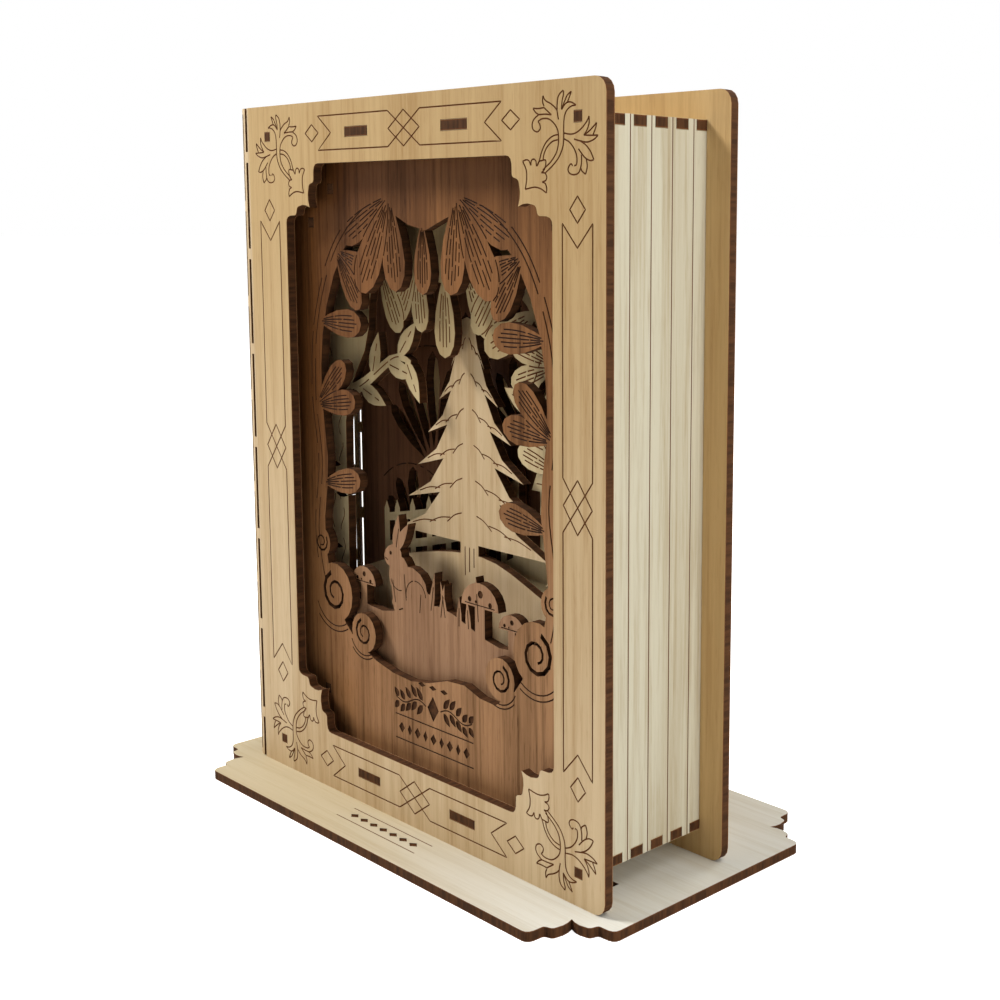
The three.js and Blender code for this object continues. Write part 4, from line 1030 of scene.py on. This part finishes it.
# %% The bough layer
BOUGH_EDGE = [at(*row) for row in (
    (0.15, 0.24), (0.135, 0.40), (0.14, 0.58), (0.22, 0.68), (0.25, 0.78), (0.38, 0.80), (0.5, 0.78),
    (0.62, 0.80), (0.74, 0.77), (0.82, 0.68), (0.845, 0.5), (0.85, 0.24), (0.7, 0.16), (0.5, 0.18),
    (0.3, 0.16))]
BOUGH_SPRAYS = [
    (0.285, 1, 0.12, 0.02), (0.345, 2, 0.12, 0), (0.4, 1, 0.13, 0), (0.44, 1, 0.12, 0.03),
    (0.5, 2, 0.13, 0), (0.56, 1, 0.14, -0.02), (0.605, 2, 0.11, -0.04), (0.66, 1, 0.1, -0.05),
]
LIMBS = [[at(*row) for row in rows] for rows in (
    ((0.12, 0.59), (0.2, 0.61), (0.32, 0.66), (0.38, 0.655)), ((0.88, 0.5), (0.81, 0.56), (0.76, 0.65)))]
LIMB_LEAF, LEAF_TURN = 0.075 * LAYER_HEIGHT, 0.12


def limb_point(places, share):
    """A point of the smooth centre line of a limb."""
    last = len(places) - 1
    whole = min(int(share * last), last - 1)
    before, after = places[max(0, whole - 1)], places[min(last, whole + 2)]
    return on_curve(before, places[whole], places[whole + 1], after, share * last - whole)


bough_lines = spray_lines(spray_lobes(BOUGH_EDGE, BOUGH_SPRAYS), 4, 0.22)
for places in LIMBS:
    for i in range(5):
        share = 0.3 + 0.56 * i / 4
        run = limb_point(places, share + 0.001) - limb_point(places, share - 0.001)
        way = heading(math.atan2(run.y, run.x) + math.tau * (LEAF_TURN if i % 2 else -LEAF_TURN))
        base = limb_point(places, share)
        bough_lines += dashes([base + way * LIMB_LEAF * (0.12 + 0.68 * j / 12) for j in range(13)], (0.62,))
    bough_lines += dashes([limb_point(places, 0.06 + 0.7 * i / 30) for i in range(31)], (0.3, 0.55, 0.8))
for u, low, high in ((0.035, 0.3, 0.8), (0.075, 0.36, 0.7), (0.11, 0.3, 0.56),
                     (0.93, 0.3, 0.62), (0.965, 0.34, 0.8)):
    bark = [at(u + 0.008 * math.sin(9 * math.pi * i / 40 + 40 * u), low + (high - low) * i / 40)
            for i in range(41)]
    bough_lines += dashes(bark, (0.22, 0.41, 0.66, 0.83))
engraved_layer("bough_sheet", "bough_layer", bough_lines, BOLD)

# %% [markdown]
# The meadow has grass, a rabbit and toadstools; behind it stand firs, a fence with a cottage, and a wood.
# Each gets the few marks that a laser would draw on it.

# %% Meadow marks
RABBIT_FOOT = at(0.4, 0.262)
RABBIT_SIZE = 0.075 * LAYER_HEIGHT
DOT_STEPS = 9


def on_rabbit(x, y):
    return RABBIT_FOOT + Vector((x, y)) * RABBIT_SIZE


def dot(middle, radius):
    return arc(middle, radius, 0, 0.9, DOT_STEPS)


meadow_lines = []
for i in range(9):
    way = heading(math.tau * (1 / 4 + 0.03 * math.cos(i * i)))
    reach = (0.1 + 0.02 * math.sin(i * i)) * LAYER_HEIGHT
    meadow_lines.append([at(0.36 + 0.035 * i, 0.23) + way * reach * share for share in (0.42, 0.78)])
meadow_lines += dashes(arc(on_rabbit(0.22, 0.36), 0.34 * RABBIT_SIZE, 0.02, 0.56, 24), (0.5,))
meadow_lines += [arc(on_rabbit(-0.36, 0.7), 0.3 * RABBIT_SIZE, 0.55, 0.8),
                 [on_rabbit(-0.44, 1.32), on_rabbit(-0.34, 1.74)],
                 [on_rabbit(-0.84, 1.04), on_rabbit(-0.74, 1.0)]]
meadow_pockets = [dot(on_rabbit(-0.64, 1.17), 0.045 * RABBIT_SIZE)]
for u, v, height, cap in ((0.64, 0.24, 0.1, 0.12), (0.74, 0.24, 0.065, 0.08), (0.23, 0.24, 0.075, 0.09)):
    foot, tall, wide = at(u, v), height * LAYER_HEIGHT, cap * LAYER_WIDTH
    for x, y, size in ((-0.27, 0.72, 0.05), (0.02, 0.83, 0.07), (0.28, 0.7, 0.05), (-0.1, 0.7, 0.03)):
        meadow_pockets.append(dot(foot + Vector((x * wide, y * tall)), size * wide))
    meadow_lines.append([foot + Vector((x * wide, 0.655 * tall)) for x in (-0.4, 0.4)])
engraved_layer("meadow_sheet", "meadow_layer", meadow_lines, FINE, meadow_pockets)

# %% Fir marks
fir_lines = []
for u, v, height, width, tiers in ((0.52, 0.39, 0.33, 0.5, 6), (0.83, 0.31, 0.16, 0.17, 4)):
    foot, tall, wide = at(u, v), height * LAYER_HEIGHT, width * LAYER_WIDTH
    for tier in range(tiers):
        half = wide / 2 * (1 - tier / tiers) ** 0.85
        for side in (-1, 1):
            for k, (inner, outer) in enumerate(((0.1, 0.3), (0.26, 0.55), (0.46, 0.8))):
                top = (tier + 0.62 - 0.2 * k) * tall / tiers
                low = (tier + 0.28 - 0.13 * k) * tall / tiers
                bend = (top + low) / 2 + 0.06 * tall / tiers
                sweep = ((inner, top), ((inner + outer) / 2, bend), (outer, low))
                fir_lines.append(smooth_line([foot + Vector((side * half * x, y)) for x, y in sweep]))
for u in (0.505, 0.52, 0.535):
    fir_lines.append([at(u, 0.335 + 0.01 * math.sin(60 * u)), at(u, 0.372)])
engraved_layer("fir_sheet", "fir_layer", fir_lines, MIDDLING)

# %% Fence and cottage marks
COTTAGE = at(0.68, 0.4)
COTTAGE_WIDTH = 0.22 * LAYER_WIDTH
ROOF_SLOPE = 0.045


def on_cottage(*places):
    """A line on the cottage, whose places are shares of its width."""
    return [COTTAGE + Vector(place) * COTTAGE_WIDTH for place in places]


fence_lines = [on_cottage((0.12, 0.455), (0.88, 0.455))]
for row in range(4):
    y = 0.53 + 0.1 * row
    fence_lines.append(on_cottage((0.03 + ROOF_SLOPE * row, y), (0.97 - ROOF_SLOPE * row, y)))
    for k in range(6):
        x = 0.12 + 0.14 * k + 0.05 * (row % 2)
        if x < 0.92 - ROOF_SLOPE * row:
            fence_lines.append(on_cottage((x, y + 0.025), (x, y + 0.075)))
for x in (0.47, 0.76, 0.83):
    fence_lines.append(on_cottage((x, 0.05), (x, 0.4)))
for u in (0.05, 0.11, 0.2, 0.31, 0.42, 0.55):
    fence_lines.append(smooth_line([at(u, 0.17), at(u + 0.01, 0.2), at(u + 0.03, 0.215)]))
engraved_layer("fence_sheet", "fence_layer", fence_lines, FINE)

# %% Bark of the wood
forest_lines = []
for u, v, size in ((0.28, 0.46, 0.28), (0.2, 0.34, 0.17), (0.59, 0.53, 0.2),
                   (0.83, 0.47, 0.25), (0.45, 0.41, 0.13)):
    for k in (-1, 0, 1):
        foot = at(u + 0.012 * k, v)
        trunk = [foot + Vector((1.2 * k * (i / 30) ** 2 + 0.5 * math.sin(i / 4 + k), -size * 90 * i / 30))
                 for i in range(2, 31)]
        forest_lines += dashes(trunk, (0.27 + 0.1 * k, 0.6, 0.84 - 0.05 * k))
    crown = arc(at(u, v), size * LAYER_WIDTH * 1.04, 0.13, 0.37, 40)
    forest_lines += dashes(crown, (0.16, 0.33, 0.44, 0.6, 0.79))
engraved_layer("forest_sheet", "forest_layer", forest_lines, MIDDLING)

# %% [markdown]
# The page panel is scored from end to end, so that it reads as five packs of leaves. The base plate has two
# short rules in front of the cover, and the spine a pair of rules at each end.

# %% Page panel, base and spine
page_face = (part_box("page_panel")[1].x - book_corner.x) / MM
page_lines = [[spot(page_face, y, z) for z in (7.6, 212.4)] for y in (17.3, 25.3, 33.4, 41.8)]
engraved("page_edges", "page_panel", page_lines, FINE, inward=(-1, 0, 0))
base_lines = [[spot(x, y, 0) for x in (71.2, 111.2)] for y in (-4.4, -11)]
base_marks = [[spot(x, y, 0) for x, y in lozenge(76.2 + 5 * i, -7.7, 1.9, 1.3)] for i in range(7)]
engraved("base_sheet", "base_plate", base_lines, FINE, base_marks, (0, 0, -1))
spine_lines = [[spot(0, y, z) for y in (15.5, 34.5)] for z in (14, 16.5, 203.5, 206)]
engraved("spine_sheet", "cover_spine", spine_lines, RULE, inward=(1, 0, 0))

# %% [markdown]
# The battery box is moulded plastic, so its edges are rounded. A copy of each CAD piece has its corners
# joined and gets a narrow bevel on every sharp edge. The lid and the knob ride on their own bodies, so that
# they slide.

# %% Moulded parts
def softened(name, node, body, width):
    """A copy of a CAD piece with its sharp edges rounded."""
    piece = copied(name, node)
    with edited(piece.data) as mesh:
        join_tiles(mesh)
    modified(piece, "BEVEL", width=width * MM, segments=2, limit_method="ANGLE", angle_limit=math.radians(40))
    bpy.ops.object.shade_smooth_by_angle(angle=math.radians(35))
    coat(piece, nodes[node].material_slots[0].material)
    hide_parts(node)
    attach(piece, body)
    return piece


moulded = [softened("holder", "battery_holder", "lamp", 0.25),
           softened("lid", "battery_lid", "battery_lid", 0.2),
           softened("knob", "switch_knob", "switch_knob", 0.25),
           softened("switch", "switch_body", "lamp", 0.2)]
cells = [softened(f"cell_body_{i}", f"cell_{i}", "lamp", 0.3) for i in (1, 2, 3)]
print(len(moulded + cells), "moulded parts", [len(piece.data.polygons) for piece in moulded + cells])

# %% [markdown]
# A cell has a bare steel can at both ends and a printed sleeve between them. Its material tells the parts
# apart by the place along the cell, which always lies along X. The nub is on the right of the outer cells.

# %% Cell finish
BARE_END, BARE_NUB_END, SILVER_BAND = 1.2 * MM, 2.4 * MM, 13 * MM


def cell_finish(i):
    low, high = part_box(f"cell_{i}")
    nub_right = i % 2 == 1
    material, tree, skin = new_material(f"cell_finish_{i}")
    place = object_place(tree)
    x = coordinate(tree, place, "X")
    scuffs = noise(tree, place, 900, 4)
    left = maths(tree, "GREATER_THAN", x, low.x + (BARE_END if nub_right else BARE_NUB_END))
    right = maths(tree, "LESS_THAN", x, high.x - (BARE_NUB_END if nub_right else BARE_END))
    sleeve = maths(tree, "MULTIPLY", left, right)
    if nub_right:
        band = maths(tree, "GREATER_THAN", x, high.x - SILVER_BAND)
    else:
        band = maths(tree, "LESS_THAN", x, low.x + SILVER_BAND)
    sleeve_colour = mix_colours(tree, band, paint(38, 84, 62), paint(206, 208, 206))
    worn = ramp(tree, scuffs, 0.6, 0.75, 0.0, 0.25)
    scuffed = mix_colours(tree, worn, sleeve_colour, paint(120, 116, 110))
    fill(tree, skin, Base_Color=mix_colours(tree, sleeve, paint(198, 198, 196), scuffed),
         Metallic=maths(tree, "SUBTRACT", 1.0, maths(tree, "MULTIPLY", sleeve, 0.7)),
         Roughness=ramp(tree, scuffs, 0.3, 0.7, 0.24, 0.38))
    return material


for i, piece in enumerate(cells, 1):
    coat(piece, cell_finish(i))
print("three cells finished")

# %% [markdown]
# A spring contact is a plate with a cone of wire on it. The wire is a curve with a round section that
# climbs from the plate to the cell and ends in a flat turn.

# %% Spring contacts
PLATE_THICKNESS = 0.4
WIRE_RADIUS, WIRE_POINTS, WIRE_TURNS = 0.28, 96, 4.5
CONE_RADIUS, CONE_TAPER, CONE_START, CONE_HEIGHT = 2.9, 1.3, 0.65, 2.95
CLIMB_START, CLIMB_SHARE = 0.12, 0.74


def spring_contact(i):
    low, high = (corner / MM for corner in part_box(f"spring_contact_{i}"))
    middle_y, middle_z = (low.y + high.y) / 2, (low.z + high.z) / 2
    plate_x, out = (high.x, -1) if i == 2 else (low.x, 1)
    plate_place = Vector((plate_x + out * PLATE_THICKNESS / 2, middle_y, middle_z)) * MM
    bpy.ops.mesh.primitive_cube_add(size=1, location=plate_place)
    plate = bpy.context.object
    plate.scale = Vector((PLATE_THICKNESS, high.y - low.y, high.z - low.z)) * MM
    bpy.ops.object.transform_apply(location=True, rotation=True, scale=True)
    modified(plate, "BEVEL", width=0.12 * MM, segments=2)
    wire = []
    for k in range(WIRE_POINTS):
        share = k / (WIRE_POINTS - 1)
        climb = min(1, max(0, (share - CLIMB_START) / CLIMB_SHARE))
        radius = CONE_RADIUS - CONE_TAPER * climb
        angle = math.tau * WIRE_TURNS * share
        wire.append(Vector((plate_x + out * (CONE_START + CONE_HEIGHT * climb),
                            middle_y + radius * math.cos(angle), middle_z + radius * math.sin(angle))) * MM)
    piece = tubes(f"spring_{i}", [wire], WIRE_RADIUS, 2)
    plate.select_set(True)
    bpy.ops.object.join()
    bpy.ops.object.shade_smooth_by_angle(angle=math.radians(40))
    coat(piece, steel)
    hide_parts(f"spring_contact_{i}")
    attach(piece, "lamp")
    return piece


springs = [spring_contact(i) for i in (1, 2, 3)]
print("springs", [len(piece.data.polygons) for piece in springs])

# %% [markdown]
# Each light is a white chip with a well of yellow gel. The face that looks down is inset and sunk.

# %% Lights
CHIP_RIM, WELL_SLOPE, WELL_DEPTH = 0.55 * MM, 0.15 * MM, 0.35 * MM
chip_white = plain_finish("chip_white", paint(236, 234, 226), 0.4)
gel_yellow = plain_finish("gel_yellow", paint(240, 214, 116), 0.25)


def light_chip(i):
    piece = copied(f"light_{i}", f"led_{i}")
    coat(piece, chip_white, gel_yellow)
    with edited(piece.data) as mesh:
        join_tiles(mesh)
        under = [face for face in mesh.faces if face.normal.z < -0.9]
        bmesh.ops.inset_region(mesh, faces=under, thickness=CHIP_RIM)
        bmesh.ops.inset_region(mesh, faces=under, thickness=WELL_SLOPE, depth=-WELL_DEPTH)
        for face in under:
            face.material_index = 1
    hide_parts(f"led_{i}")
    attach(piece, "lamp")
    return piece


lights = [light_chip(i) for i in range(1, 8)]
print(len(lights), "lights", len(lights[0].data.polygons), "faces each")
